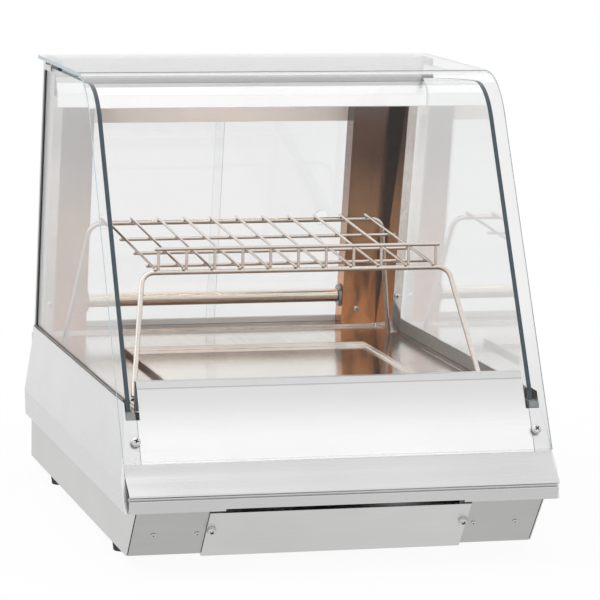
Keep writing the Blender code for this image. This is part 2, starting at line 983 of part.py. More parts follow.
def upper_track():
    """Head rail with two grooves, and the header above it up to the hood."""
    low = deck_top + head_rise
    top = low + head_height
    head = hood_top - hood_sheet - gap
    ends = (-post_corner, post_corner)
    wide = (-case_width, case_width)
    near = track_start
    body = leaning("upper_track", near, near + track_depth, low, top, ends)
    weld(body, leaning("header", near, near + header_thick, top - sheet, head, ends, tools))
    for which in (0, 1):
        near = track_start + track_wall + which * door_pitch
        cut(body, leaning("groove", near, near + door_slot, low - sheet, low + head_groove, wide, tools))
    return dress(body, "steel")


def sliding_door(word, side, which):
    """Glass door with a finger hole near its outer edge."""
    low = deck_top + sill_rise + gap + track_floor + gap
    top = deck_top + head_rise + head_groove - door_lift
    near = track_start + track_wall + which * door_pitch + gap
    middle = side * (door_half - door_overlap / 2)
    ends = (middle - door_half, middle + door_half)
    body = leaning("door_" + word, near, near + door_thick, low, top, ends)
    level = (low + top) / 2
    place = (middle + side * (door_half - finger_inset - door_overlap), post_y(level, near), level)
    cut(body, hole(place, post_out, finger_radius, 4 * door_thick))
    return dress(body, "glass")


# Lamp hood
def hood():
    """Canopy across the case: lip, vertical face, slanted face and the top to the rear."""
    low = hood_top - hood_drop
    fold = low + hood_fold
    slope_end = hood_front + hood_slope_run
    line = [
        (hood_front + hood_lip, low),
        (hood_front, low),
        (hood_front, fold),
        (slope_end, hood_top),
        (hood_back, hood_top),
    ]
    half = side_inner - gap
    body = bent("hood", line, (-half, half), "X", hood_sheet, -1)
    return dress(body, "satin")


def lamp_place():
    """Depth of the lamp's axis."""
    return hood_front + hood_slope_run + 2 * reflector_edge + reflector_flat / 2


def reflector():
    """Trough above the lamp, fixed to the underside of the hood."""
    top = hood_top - hood_sheet - gap
    half = reflector_flat / 2
    skirt = half + reflector_edge
    place = lamp_place()
    line = [
        (place - skirt, top - reflector_drop),
        (place - half, top),
        (place + half, top),
        (place + skirt, top - reflector_drop),
    ]
    body = bent("reflector", line, (-reflector_half, reflector_half), "X", reflector_sheet, -1)
    return dress(body, "steel")


def holder_top():
    return hood_top - hood_sheet - reflector_sheet - 2 * gap


def lamp_holder(word, side):
    """Ceramic holder that hangs under the reflector."""
    place = lamp_place()
    top = holder_top()
    near, far = across(side, lamp_length / 2 + gap, lamp_length / 2 + holder_thick)
    low = (near, place - holder_width / 2, top - holder_height)
    high = (far, place + holder_width / 2, top)
    return dress(box("lamp_holder_" + word, low, high), "ceramic")


def heat_lamp():
    """Quartz tube between its two holders."""
    reach = lamp_length / 2
    rim = lamp_diameter / 2
    neck = rim * neck_share
    profile = [(0, reach), (neck, reach), (neck, reach - rim), (rim, reach - 2 * rim)]
    profile += [(a, -b) for a, b in profile[::-1]]
    body = lathe("heat_lamp", profile, 20)
    aim(body, (0, lamp_place(), holder_top() - holder_height / 2), (1, 0, 0))
    return dress(body, "quartz")


# Deck
def deck():
    """Warm deck with a raised sill at the back that carries the posts and the doors."""
    low = deck_top - sheet
    front = seal_front()
    tail = post_reach + sill_back
    body = box("deck", (-seal_half, front, low), (seal_half, panel_back, deck_top))
    mid = (-side_half, front + sheet, low)
    weld(body, box("rear", mid, (side_half, back_reach, deck_top), tools))
    tongue = (-post_corner, post_reach - sill_front, low)
    weld(body, box("sill", tongue, (post_corner, tail, deck_top + sill_rise), tools))
    for side in (-1, 1):
        near, far = across(side, joint_inner, joint_inner + joint_width)
        floor = deck_top - joint_depth
        low = (near, front + sheet, floor)
        cut(body, box("joint", low, (far, panel_back, deck_top + sheet), tools))
    return dress(body, "steel")


def tray():
    """Loose tray with a raised rim."""
    low = deck_top + gap
    top = low + tray_rim
    body = box("tray", (-tray_half, tray_front, low), (tray_half, tray_back, top))
    inner_low = (-tray_half + tray_wall, tray_front + tray_wall, low + sheet)
    inner_high = (tray_half - tray_wall, tray_back - tray_wall, top + sheet)
    cut(body, box("hollow", inner_low, inner_high, tools))
    return dress(body, "steel")


def heating_plate():
    """Flat heater pressed against the underside of the deck."""
    top = deck_top - sheet - gap
    low = (-heater_half, tray_front + heater_inset, top - heater_thick)
    return dress(box("heating_plate", low, (heater_half, tray_back, top)), "black")


# Rear controls
def rear_panel():
    """Upper rear sheet with side returns, a window for the switch and a shaft hole."""
    ends = (base_top + gap, deck_top - sheet - gap)
    side_end = panel_back + gap
    plan = [
        (-side_half, side_end),
        (-side_half, back_reach),
        (side_half, back_reach),
        (side_half, side_end),
    ]
    body = bent("rear_panel", plan, ends, "Z", sheet, -1)
    half_w = switch_width / 2 + gap
    half_h = switch_height / 2 + gap
    low = (switch_place - half_w, back_reach - 3 * sheet, control_level - half_h)
    high = (switch_place + half_w, back_reach + sheet, control_level + half_h)
    cut(body, box("window", low, high, tools))
    cut(body, hole((knob_place, back_reach, control_level), (0, 1, 0), shaft_radius + 2 * gap, 3 * sheet))
    return dress(body, "satin")


def switch_housing():
    """Snap-in frame of the rocker switch."""
    back = back_reach + gap
    wide = switch_width / 2
    tall = switch_height / 2
    lap = switch_flange
    low = (switch_place - wide - lap, back, control_level - tall - lap)
    high = (switch_place + wide + lap, back + lap, control_level + tall + lap)
    body = box("switch_housing", low, high)
    low = (switch_place - wide, back - switch_depth, control_level - tall)
    high = (switch_place + wide, back + lap / 2, control_level + tall)
    weld(body, box("core", low, high, tools))
    wide -= rocker_wall
    tall -= rocker_wall
    low = (switch_place - wide, back - rocker_deep, control_level - tall)
    high = (switch_place + wide, back + 2 * lap, control_level + tall)
    cut(body, box("well", low, high, tools))
    return dress(body, "black")


def switch_rocker():
    """Rocker cap that tips about a line across the switch."""
    wide = switch_width / 2 - rocker_wall - rocker_clear
    tall = switch_height / 2 - rocker_wall - rocker_clear - rocker_play
    rise = switch_flange + rocker_proud
    outline = [
        (-rocker_root, -tall),
        (rise + rocker_tip, -tall),
        (rise - rocker_tip, 0),
        (rise + rocker_tip, tall),
        (-rocker_root, tall),
    ]
    body = block("switch_rocker", outline, (-wide, wide), "X")
    body.location = (switch_place, back_reach + gap - rocker_pivot, control_level)
    return dress(body, "black")


def thermostat():
    """Body of the thermostat behind the rear panel."""
    back = back_reach - sheet - gap
    half = thermostat_size / 2
    low = (knob_place - half, back - thermostat_size, control_level - half)
    return dress(box("thermostat", low, (knob_place + half, back, control_level + half)), "black")


def thermostat_knob():
    """Knob with a grip bar and a shaft that reaches the thermostat."""
    rim = knob_radius
    grip = rim * grip_share
    top = knob_height * grip_share
    skirt = knob_height * skirt_share
    reach = sheet + gap
    profile = [(0, top), (grip, top), (grip, skirt), (rim, skirt), (rim, 0)]
    profile += [(shaft_radius, 0), (shaft_radius, -reach), (0, -reach)]
    body = lathe("thermostat_knob", profile, 36)
    half = rim * grip_bar_share
    weld(body, box("grip", (-half, -grip, skirt / 2), (half, grip, knob_height), tools))
    aim(body, (knob_place, back_reach + gap, control_level), (0, 1, 0))
    return dress(body, "black")


def cable_gland():
    """Round inlet in the rear wall of the base."""
    rim = gland_radius * gland_rim_share
    inner = gland_radius * gland_bore_share
    length = gland_radius * gland_length_share
    profile = [(inner, length / 2), (rim, length / 2), (rim, 0), (gland_radius, 0)]
    profile += [(gland_radius, -length), (inner, -length), (inner, length / 2)]
    body = aim(lathe("cable_gland", profile, 28), (gland_place, back_reach + gap, gland_level), (0, 1, 0))
    return dress(body, "black")


# Rack
def rack_level(place, lift):
    """Height of the wires' centre line at a depth, with a lift."""
    mid = deck_top + rack_rise + (frame_rod + wire) / 2 - weld_sink
    return mid + rack_slope * (place - rack_front) + lift


def rack_frame(name, place, foot_place, home):
    """Bent rod: two splayed legs and the bar between them."""
    level = rack_level(place, weld_sink - (frame_rod + wire) / 2)
    drop = level - deck_top
    slant = math.hypot(rack_foot_half - rack_bar_half, foot_place - place)
    foot_level = deck_top + gap + frame_rod / 2 * slant / math.hypot(slant, drop)
    splay = (rack_foot_half - rack_bar_half) / drop
    run = (foot_place - place) / drop
    half = [(rack_foot_half, foot_place, foot_level)]
    for share in rack_bend_shares:
        angle = math.radians(90) * share
        down = rack_bend * (1 - math.sin(angle))
        inward = rack_bend * (1 - math.cos(angle))
        half.append((rack_bar_half + splay * down - inward, place + run * down, level - down))
    mirrored = [(-a, b, c) for a, b, c in half]
    return rod(name, mirrored + half[::-1], frame_rod, home)


def wire_path(reach):
    """One shelf wire, from behind the rear frame to just past the front one."""
    near = reach - wire_shift
    return [(near, wire_back, rack_level(wire_back, 0)), (near, wire_front, rack_level(wire_front, 0))]


def upright_path(reach):
    """One fence upright, from the front frame's bar to the fence rail, beside its shelf wire."""
    near = reach + wire_shift
    foot = rack_level(rack_front, weld_sink - (frame_rod + wire) / 2)
    return [(near, rack_front, foot), (near, rack_front, rack_level(rack_front, fence_rise))]


def rack():
    """Welded wire shelf: two frames, three rods, shelf wires, and a fence of uprights and a rail."""
    body = rack_frame("rack", rack_front, rack_front_foot, parts)
    weld(body, rod("wire", wire_path(-wire_pitch * (wire_count - 1) / 2), wire, tools))
    for share in rod_shares:
        place = rack_front + (rack_back - rack_front) * share
        level = rack_level(place, weld_sink - (cross_rod + wire) / 2)
        weld(body, rod("rod", [(-rod_half, place, level), (rod_half, place, level)], cross_rod, tools))
    for i in range(1, wire_count):
        reach = (i - (wire_count - 1) / 2) * wire_pitch
        weld(body, rod("wire", wire_path(reach), wire, tools))
    weld(body, rack_frame("back", rack_back, rack_back_foot, tools))
    for i in range(wire_count):
        reach = (i - (wire_count - 1) / 2) * wire_pitch
        weld(body, rod("upright", upright_path(reach), wire, tools))
    middle, depth, level = upright_path(0)[-1]
    rail = [(middle - fence_half, depth, level), (middle + fence_half, depth, level)]
    weld(body, rod("rail", rail, cross_rod, tools))
    for face in body.data.polygons:
        face.use_smooth = True
    return dress(body, "steel")


def place_origins():
    """Puts each unturned piece's origin at its middle, and the case over the origin."""
    pivots = {"access_cover": Vector((0, cover_back(base_low - cover_low), base_low - cover_low))}
    for body in parts.objects:
        if body.location.length == 0:
            corners = [Vector(corner) for corner in body.bound_box]
            middle = pivots.get(body.name, sum(corners, Vector()) / len(corners))
            body.data.transform(Matrix.Translation(-middle))
            body.location = middle
        body.location.y -= depth_middle


def build():
    start()
    base_shell()
    access_cover()
    apron()
    lip()
    front_pane()
    deck()
    tray()
    heating_plate()
    rear_panel()
    switch_housing()
    switch_rocker()
    thermostat()
    thermostat_knob()
    cable_gland()
    crossbar()
    lower_track()
    upper_track()
    hood()
    reflector()
    heat_lamp()
    rack()
    for word, side in mirror_sides:
        corner_panel(word, side)
        thumb_screw(word, side)
        foot("foot_front_" + word, side, foot_front)
        foot("foot_rear_" + word, side, foot_back)
        for edge, reach in (("inner", corner_screw_inner), ("outer", corner_screw_outer)):
            name = "corner_screw_" + edge + "_" + word
            spot = corner_screw_spot(side, reach)
            screw(name, spot, base_out, corner_screw_head, 2 * sheet, low_head_share)
        side_panel(word, side)
        side_pane(word, side)
        pane_seal(word, side)
        pane_block(word, side)
        pane_screw(word, side)
        pane_pad(word, side)
        pane_clip(word, side)
        post(word, side)
        spot = post_screw_spot(side, gap)
        screw("post_screw_" + word, spot, post_out, post_screw_head, 2 * sheet, dome_share)
        spot = flange_screw_spot(side, gap)
        screw("flange_screw_" + word, spot, post_out, post_screw_head, 2 * sheet, dome_share)
        crossbar_disc(word, side)
        lamp_holder(word, side)
    sliding_door("left", -1, 0)
    sliding_door("right", 1, 1)
    place_origins()


build()
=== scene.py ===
"""Heated counter display case: finishes, fasteners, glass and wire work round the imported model."""

from functools import partial
import json
import math

import bmesh
import bpy
from mathutils import Matrix, Vector


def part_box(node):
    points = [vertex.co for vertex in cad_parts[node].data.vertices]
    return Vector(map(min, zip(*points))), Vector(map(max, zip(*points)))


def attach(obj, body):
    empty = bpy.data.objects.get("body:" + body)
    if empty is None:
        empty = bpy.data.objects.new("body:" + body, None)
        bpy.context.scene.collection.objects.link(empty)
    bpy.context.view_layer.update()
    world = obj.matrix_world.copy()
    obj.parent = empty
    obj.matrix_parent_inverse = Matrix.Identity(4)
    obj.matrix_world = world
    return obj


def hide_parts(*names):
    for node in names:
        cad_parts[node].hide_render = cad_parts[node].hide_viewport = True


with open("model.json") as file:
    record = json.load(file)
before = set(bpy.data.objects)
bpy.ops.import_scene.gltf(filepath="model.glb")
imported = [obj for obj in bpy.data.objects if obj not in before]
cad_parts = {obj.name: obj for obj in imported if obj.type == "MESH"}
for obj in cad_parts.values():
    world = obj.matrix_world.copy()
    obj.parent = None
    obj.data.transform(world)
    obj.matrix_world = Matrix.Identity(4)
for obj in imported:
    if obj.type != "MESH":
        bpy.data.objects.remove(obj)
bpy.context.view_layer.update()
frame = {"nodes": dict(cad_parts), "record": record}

# ---- Base: tub, corner panels and access cover ----------------------------------------------
# Folded stainless sheet, 1.5 mm thick, ground with a fine belt along its length. The two corner
# panels are screwed to the tub, and the cover between them tips out on its lower hooks.
sheet_edge, fold_round, wide_face = 0.0003, 0.0013, 0.0026
merge_reach = 0.00001
flat_angle, round_angle = math.radians(0.4), math.radians(28)
line_stretch, cloud_size = 150, 0.14
deep_relief, fine_relief = 0.0002, 0.0001


def linear(code, share=1.0):
    """Linear colour of an sRGB hex value, or of a share of its light."""
    parts = [int(code[i:i + 2], 16) / 255 for i in (0, 2, 4)]
    light = [c / 12.92 if c < 0.04045 else ((c + 0.055) / 1.055) ** 2.4 for c in parts]
    return (*[share * c for c in light], 1.0)


def feed(node, inputs):
    """Sets or links a node's inputs; a node as a value stands for its first output in use."""
    for socket, value in inputs.items():
        if isinstance(value, bpy.types.Node):
            value = next(output for output in value.outputs if output.enabled)
        if isinstance(value, bpy.types.NodeSocket):
            node.id_data.links.new(value, node.inputs[socket])
        else:
            node.inputs[socket].default_value = value


def add_node(tree, kind, inputs=None, **settings):
    """Adds one node with its settings, and with its inputs set or linked."""
    made = tree.nodes.new(kind)
    for name, value in settings.items():
        setattr(made, name, value)
    feed(made, inputs or {})
    return made


def started(name):
    """New material, what adds a node to it, its main shader and the Object coordinates."""
    made = bpy.data.materials.new(name)
    made.use_nodes = True
    add = partial(add_node, made.node_tree)
    place = add("ShaderNodeTexCoord").outputs["Object"]
    return made, add, made.node_tree.nodes["Principled BSDF"], place


def ground_steel(name, pale, dark, rough, along, pitch=0.0012, lines=0.12):
    """Stainless sheet ground with a belt: lines that run along one axis, and faint clouds.

    The real lines are 0.1 mm apart and are drawn coarser, at pitch, so that they show."""
    made, add, shader, place = started(name)
    scale = [1 / pitch] * 3
    scale["XYZ".index(along)] = 1 / (line_stretch * pitch)
    spot = add("ShaderNodeMapping", {"Vector": place, "Scale": scale})
    grain = add("ShaderNodeTexNoise", {"Vector": spot, "Scale": 1.0, "Detail": 3.0})
    cloud = add("ShaderNodeTexNoise", {"Vector": place, "Scale": 1 / cloud_size, "Detail": 2.0})
    both = add("ShaderNodeMath", {0: grain, 1: cloud}, operation="ADD")
    share = add("ShaderNodeMapRange", {"Value": both, "From Min": 0.7, "From Max": 1.3})
    tone = add("ShaderNodeMix", {0: share, "A": linear(dark), "B": linear(pale)}, data_type="RGBA")
    limits = {"From Min": 0.6, "From Max": 1.4, "To Min": rough * 0.8, "To Max": rough * 1.2}
    polish = add("ShaderNodeMapRange", {"Value": both, **limits})
    bump = add("ShaderNodeBump", {"Height": grain, "Strength": lines, "Distance": deep_relief})
    feed(shader, {"Base Color": tone, "Roughness": polish, "Normal": bump, "Metallic": 1.0})
    return made


def body_of(node):
    """Name of the body that carries a CAD node."""
    bodies = frame["record"]["behaviour"]["bodies"]
    return next(body for body, nodes in bodies.items() if node in nodes)


def joined(node):
    """Copy of a CAD node's mesh with its corners merged and its flat faces whole."""
    shape = bmesh.new()
    shape.from_mesh(frame["nodes"][node].data)
    bmesh.ops.remove_doubles(shape, verts=shape.verts, dist=merge_reach)
    bmesh.ops.dissolve_limit(shape, angle_limit=flat_angle, verts=shape.verts, edges=shape.edges)
    for face in shape.faces:
        face.smooth = True
    return shape


def is_cut(face):
    """True for the cut edge of a sheet, false for its flat."""
    return 2 * face.calc_area() / face.calc_perimeter() <= wide_face


def placed(name, data):
    """New object of the scene, at the origin."""
    made = bpy.data.objects.new(name, data)
    bpy.context.collection.objects.link(made)
    return made


def broken_edges(node, material, edge, fold=None, others=()):
    """Piece that stands for a CAD node: its folds are rounded and its cut edges broken.

    Each of the others is a further material with a test for the faces that it goes on."""
    shape = joined(node)
    fold = fold or edge
    weight = shape.edges.layers.float.new("bevel_weight_edge")
    for line in shape.edges:
        if len(line.link_faces) == 2 and line.calc_face_angle(0) > round_angle:
            line[weight] = edge / fold if any(is_cut(face) for face in line.link_faces) else 1.0
    for face in shape.faces:
        tests = [i + 1 for i, (finish, test) in enumerate(others) if test(face)]
        face.material_index = tests[0] if tests else 0
    mesh = bpy.data.meshes.new(node + "_made")
    shape.to_mesh(mesh)
    shape.free()
    mesh.set_sharp_from_angle(angle=round_angle)
    for finish in (material, *[finish for finish, test in others]):
        mesh.materials.append(finish)
    piece = placed(node + "_made", mesh)
    bevel = piece.modifiers.new("edge", "BEVEL")
    bevel.width = fold
    bevel.segments = 3
    bevel.limit_method = "WEIGHT"
    bevel.harden_normals = True
    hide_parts(node)
    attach(piece, body_of(node))
    return piece


tub_steel = ground_steel("stainless_tub_ground_lengthwise", "e0e0df", "d6d6d5", 0.34, "Y")
broken_edges("base_shell", tub_steel, sheet_edge, fold_round)
corner_steel = ground_steel("stainless_corner_ground_across", "c6c6c5", "bcbcbb", 0.36, "X")
cover_steel = ground_steel("stainless_cover_ground_across", "dededd", "d5d5d4", 0.33, "X")
for word in ("left", "right"):
    broken_edges("corner_panel_" + word, corner_steel, sheet_edge, fold_round)
broken_edges("access_cover", cover_steel, sheet_edge, fold_round)

# ---- Feet -----------------------------------------------------------------------------------
# Four turned feet of black rubber under the tub. Their sides are matt with a fine moulding
# texture and greyer bloom in patches.
foot_edge, bloom_size = 0.0008, 0.012


def rubber(name, colour, worn, rough, grain=0.0009):
    """Moulded rubber: fine pebbled relief and greyer bloom in patches."""
    made, add, shader, place = started(name)
    pebble = add("ShaderNodeTexVoronoi", {"Vector": place, "Scale": 1 / grain})
    bloom = add("ShaderNodeTexNoise", {"Vector": place, "Scale": 1 / bloom_size, "Detail": 4.0})
    share = add("ShaderNodeMapRange", {"Value": bloom, "From Min": 0.45, "From Max": 0.8})
    tones = {0: share, "A": linear(colour), "B": linear(worn)}
    tone = add("ShaderNodeMix", tones, data_type="RGBA")
    bump = add("ShaderNodeBump", {"Height": pebble, "Strength": 0.25, "Distance": deep_relief})
    limits = {"Value": bloom, "To Min": rough * 0.85, "To Max": rough * 1.15}
    polish = add("ShaderNodeMapRange", limits)
    feed(shader, {"Base Color": tone, "Roughness": polish, "Normal": bump})
    return made


foot_rubber = rubber("rubber_feet_moulded", "1d1d1e", "2e2e2f", 0.62)
for word in ("left", "right"):
    for end in ("front", "rear"):
        broken_edges("foot_" + end + "_" + word, foot_rubber, foot_edge)

# ---- Housing: side panels, apron and lip ----------------------------------------------------
# Folded stainless sheet again, ground finer and almost white under soft light. The side panels
# flare out to a crease, the apron slants under the glass and the lip folds round its foot.
side_steel = ground_steel("stainless_side_ground_lengthwise", "ebebeb", "e4e4e4", 0.30, "Y")
apron_name, apron_levels = "stainless_apron_ground_across", (0.160, 0.225, 0.227, 0.0007)
hem_line_shade = 0.72


def reopened(made, source, output):
    """What adds a node to a finished material, its shader and colour, and an output's Z."""
    add = partial(add_node, made.node_tree)
    shader = made.node_tree.nodes["Principled BSDF"]
    level = add("ShaderNodeSeparateXYZ", {0: add(source).outputs[output]}).outputs["Z"]
    return add, shader, shader.inputs["Base Color"].links[0].from_socket, level


def shaded_to_top(name, low, dark, high, hem, rough, levels):
    """Ground sheet with painted shade that darkens it towards its top, a painted darker tone above
    its hem line, and a painted dark line along that line.

    The levels are where the painted shade starts and ends, the hem line and half its width."""
    made = ground_steel(name, low, dark, rough, "X", lines=0.04)
    foot_level, top_level, hem_level, hem_line = levels
    add, shader, colour, level = reopened(made, "ShaderNodeTexCoord", "Object")
    # Painted shade: towards high between the first two levels, the hem tone above the hem line, and
    # a darker painted line at it.
    ends = {"Value": level, "From Min": foot_level, "From Max": top_level}
    dull = add("ShaderNodeMapRange", ends, interpolation_type="SMOOTHSTEP")
    over = add("ShaderNodeMath", {0: level, 1: hem_level}, operation="GREATER_THAN")
    near = add("ShaderNodeMath", {0: level, 1: hem_level, 2: hem_line}, operation="COMPARE")
    painted_line_colour = linear(hem, hem_line_shade)
    for share, tone in ((dull, linear(high)), (over, linear(hem)), (near, painted_line_colour)):
        colour = add("ShaderNodeMix", {0: share, "A": colour, "B": tone}, data_type="RGBA")
    feed(shader, {"Base Color": colour})
    return made


# The apron's upper part is painted in shade, darker above its hem, with a painted dark line at the
# hem.
apron_steel = shaded_to_top(apron_name, "fdfdfd", "f6f6f6", "dedede", "d6d6d6", 0.34, apron_levels)
lip_steel = ground_steel("stainless_lip_ground_across", "dbdbdb", "d5d5d5", 0.30, "X", lines=0.05)
for word in ("left", "right"):
    broken_edges("side_panel_" + word, side_steel, sheet_edge, fold_round)
# Cut edges of the apron and hood: duller sheared steel, made darker with painted shade.
sheared_shaded_steel = ground_steel("stainless_sheared_edge_painted_shade", "6e6e6e", "505050", 0.40, "X")
broken_edges("apron", apron_steel, sheet_edge, fold_round, [(sheared_shaded_steel, is_cut)])
broken_edges("lip", lip_steel, sheet_edge, fold_round)

# ---- Deck, tray and heater ------------------------------------------------------------------
# The warm deck is polished sheet with two joints beside the tray, a loose pressed tray lies on
# it, and a woven silicone heater mat is clamped under it.
rolled_pitch, rib_share, tray_inner = 0.0014, 0.22, 0.205
deck_lines, deck_cloud = (700, 5, 700), 0.09
deck_edge, deck_fold = 0.0002, 0.0006
tray_edge, tray_fold = 0.0003, 0.0010
mat_edge, mat_thread, mat_stain = 0.0005, 0.0012, 0.03


def rolled_deck(name, pale, dark, rough):
    """Polished deck sheet; beside the tray it is rolled with fine lines from front to rear."""
    made, add, shader, place = started(name)
    across = add("ShaderNodeSeparateXYZ", {0: place}).outputs["X"]
    pace = {0: across, 1: 2 * math.pi / rolled_pitch}
    wave = add("ShaderNodeMath", {0: add("ShaderNodeMath", pace, operation="MULTIPLY")},
               operation="SINE")
    reach = add("ShaderNodeMath", {0: across}, operation="ABSOLUTE")
    beside = add("ShaderNodeMath", {0: reach, 1: tray_inner}, operation="GREATER_THAN")
    ribs = add("ShaderNodeMath", {0: wave, 1: beside}, operation="MULTIPLY")
    spot = add("ShaderNodeMapping", {"Vector": place, "Scale": deck_lines})
    grain = add("ShaderNodeTexNoise", {"Vector": spot, "Scale": 1.0, "Detail": 3.0})
    cloud = add("ShaderNodeTexNoise", {"Vector": place, "Scale": 1 / deck_cloud, "Detail": 2.0})
    both = add("ShaderNodeMath", {0: grain, 1: cloud}, operation="ADD")
    mixed = add("ShaderNodeMath", {0: ribs, 1: rib_share, 2: both}, operation="MULTIPLY_ADD")
    ends = {"From Min": 0.6, "From Max": 1.4}
    share = add("ShaderNodeMapRange", {"Value": mixed, **ends})
    tone = add("ShaderNodeMix", {0: share, "A": linear(dark), "B": linear(pale)}, data_type="RGBA")
    limits = {"Value": both, **ends, "To Min": rough * 0.7, "To Max": rough * 1.3}
    polish = add("ShaderNodeMapRange", limits)
    bump = add("ShaderNodeBump", {"Height": ribs, "Strength": 0.12, "Distance": fine_relief})
    feed(shader, {"Base Color": tone, "Roughness": polish, "Normal": bump, "Metallic": 1.0})
    return made


deck_steel = rolled_deck("stainless_deck_polished_rolled", "e0d6ce", "b4aaa1", 0.12)
tray_steel = ground_steel("stainless_tray_polished", "eae3dc", "ddd5cd", 0.12, "X", lines=0.03)
broken_edges("deck", deck_steel, deck_edge, deck_fold)
broken_edges("tray", tray_steel, tray_edge, tray_fold)


def woven_mat(name, colour, thread):
    """Silicone rubber with a glass cloth pressed into it: a square weave of threads."""
    made, add, shader, place = started(name)
    spot = add("ShaderNodeMapping", {"Vector": place, "Scale": [math.pi / thread] * 3})
    parts = add("ShaderNodeSeparateXYZ", {0: spot}).outputs
    waves = [add("ShaderNodeMath", {0: parts[i]}, operation="SINE") for i in (0, 1)]
    weave = add("ShaderNodeMath", {0: waves[0], 1: waves[1]}, operation="MULTIPLY")
    bump = add("ShaderNodeBump", {"Height": weave, "Strength": 0.4, "Distance": deep_relief})
    stain = add("ShaderNodeTexNoise", {"Vector": place, "Scale": 1 / mat_stain, "Detail": 3.0})
    tones = {0: stain, "A": linear(colour), "B": linear(colour, 0.7)}
    tone = add("ShaderNodeMix", tones, data_type="RGBA")
    feed(shader, {"Base Color": tone, "Normal": bump, "Roughness": 0.7})
    return made


mat_silicone = woven_mat("silicone_heater_woven", "8c3a24", mat_thread)
broken_edges("heating_plate", mat_silicone, mat_edge)

# ---- Seals, blocks and pads -----------------------------------------------------------------
# Dark extruded seals hold the side glasses along their foot and rear edge, small blocks close
# the seals at the front, and pads lie between the side glasses and the flat top. The seals'
# inner lips are grey.
seal_edge, block_edge, pad_edge = 0.0003, 0.0004, 0.0004
clip_edge, clip_fold = 0.0002, 0.0005
seal_rubber = rubber("rubber_seal_extruded", "3a3c3d", "4a4c4d", 0.5)
inner_rubber = rubber("rubber_seal_grey_lip", "8a8682", "9a9692", 0.45)
block_rubber = rubber("rubber_block_cut", "888b8e", "989b9d", 0.45)
clip_metal = ground_steel("aluminium_clip_pressed", "d8d8d8", "c6c6c6", 0.30, "Y")


def faces_inside(face):
    """True for the faces of a seal that look to the middle of the case, or up."""
    return face.normal.x * face.calc_center_median().x < 0 or face.normal.z > 0.8


for word in ("left", "right"):
    broken_edges("pane_seal_" + word, seal_rubber, seal_edge, others=[(inner_rubber, faces_inside)])
    broken_edges("pane_block_" + word, block_rubber, block_edge)
    broken_edges("pane_pad_" + word, seal_rubber, pad_edge)
    broken_edges("pane_clip_" + word, clip_metal, clip_edge, clip_fold)

# ---- Glass ----------------------------------------------------------------------------------
# Clear float glass. The front pane, 5 mm, is bent once between its straight front and its flat
# top, and the side panes are 6 mm. Their cut edges are ground; the dark green to grey they show
# is painted shade, and the door edges are painted pale, as lit.
# The bent pane gets a lower IOR than glass has, to mirror as little as it does in the photo.
glass_edge = 0.0005
glass_bend_light, front_bend_light = 1.5, 1.28


def float_glass(name, tint, wave, bend_light):
    """Clear glass that lets the lamps' light through, with a trace of roller wave."""
    made, add, shader, place = started(name)
    roll = add("ShaderNodeTexNoise", {"Vector": place, "Scale": 1 / wave, "Detail": 0.0})
    bump = add("ShaderNodeBump", {"Height": roll, "Strength": 0.02, "Distance": 0.001})
    feed(shader, {
        "Base Color": linear(tint), "Roughness": 0.0, "IOR": bend_light, "Normal": bump,
        "Transmission Weight": 1.0,
    })
    shadow = add("ShaderNodeLightPath").outputs["Is Shadow Ray"]
    clear = add("ShaderNodeBsdfTransparent", {"Color": linear(tint)})
    mixed = add("ShaderNodeMixShader", {0: shadow, 1: shader, 2: clear})
    feed(made.node_tree.nodes["Material Output"], {"Surface": mixed})
    return made


def two_toned(name, low, high, rough, scale, detail, relief, stretch=(1, 1, 1), ends=(0, 1)):
    """Plain material in two tones that follow a fine noise, with a relief of the same noise."""
    made, add, shader, place = started(name)
    spot = add("ShaderNodeMapping", {"Vector": place, "Scale": stretch})
    noise = add("ShaderNodeTexNoise", {"Vector": spot, "Scale": scale, "Detail": detail})
    share = add("ShaderNodeMapRange", {"Value": noise, "From Min": ends[0], "From Max": ends[1]})
    tone = add("ShaderNodeMix", {0: share, "A": linear(low), "B": linear(high)}, data_type="RGBA")
    bump = add("ShaderNodeBump", {"Height": noise, "Strength": relief, "Distance": fine_relief})
    feed(shader, {"Base Color": tone, "Normal": bump, "Roughness": rough})
    return made


# Ground edges carry the glass's green with painted shade, darkest on the side panes, and painted
# light on the door edges, with finer, brighter grinding lines.
grinding = {"scale": 1 / 0.004, "detail": 5.0, "relief": 0.1}
front_glass = float_glass("float_glass_bent_clear", "fefefe", 0.09, front_bend_light)
front_cut = two_toned("float_glass_bent_ground_edge_painted_shade", "7d95a1", "b4c4cb", 0.15, **grinding)
side_glass = float_glass("float_glass_side_clear", "fbfcfc", 0.11, glass_bend_light)
side_cut = two_toned("float_glass_side_ground_edge_painted_shade", "132c37", "2a4551", 0.35, **grinding)
door_glass = float_glass("float_glass_door_clear", "fcfdfd", 0.07, glass_bend_light)
door_cut = two_toned("float_glass_door_ground_edge_painted_light", "dfe6e6", "eff3f3", 0.2, **grinding)


def ends_front_pane(face):
    """True for the two cut ends of the bent pane, which look aside."""
    return abs(face.normal.x) > 0.8


def rims_side_pane(face):
    """True for the cut rim of a side pane, whose flats look aside."""
    return abs(face.normal.x) < 0.5


def rims_door(face):
    """True for the cut rim of a door, whose flats look to the front and the rear."""
    return abs(face.normal.y) < 0.6


broken_edges("front_pane", front_glass, glass_edge, others=[(front_cut, ends_front_pane)])
for word in ("left", "right"):
    broken_edges("side_pane_" + word, side_glass, glass_edge, others=[(side_cut, rims_side_pane)])
    broken_edges("door_" + word, door_glass, glass_edge, others=[(door_cut, rims_door)])
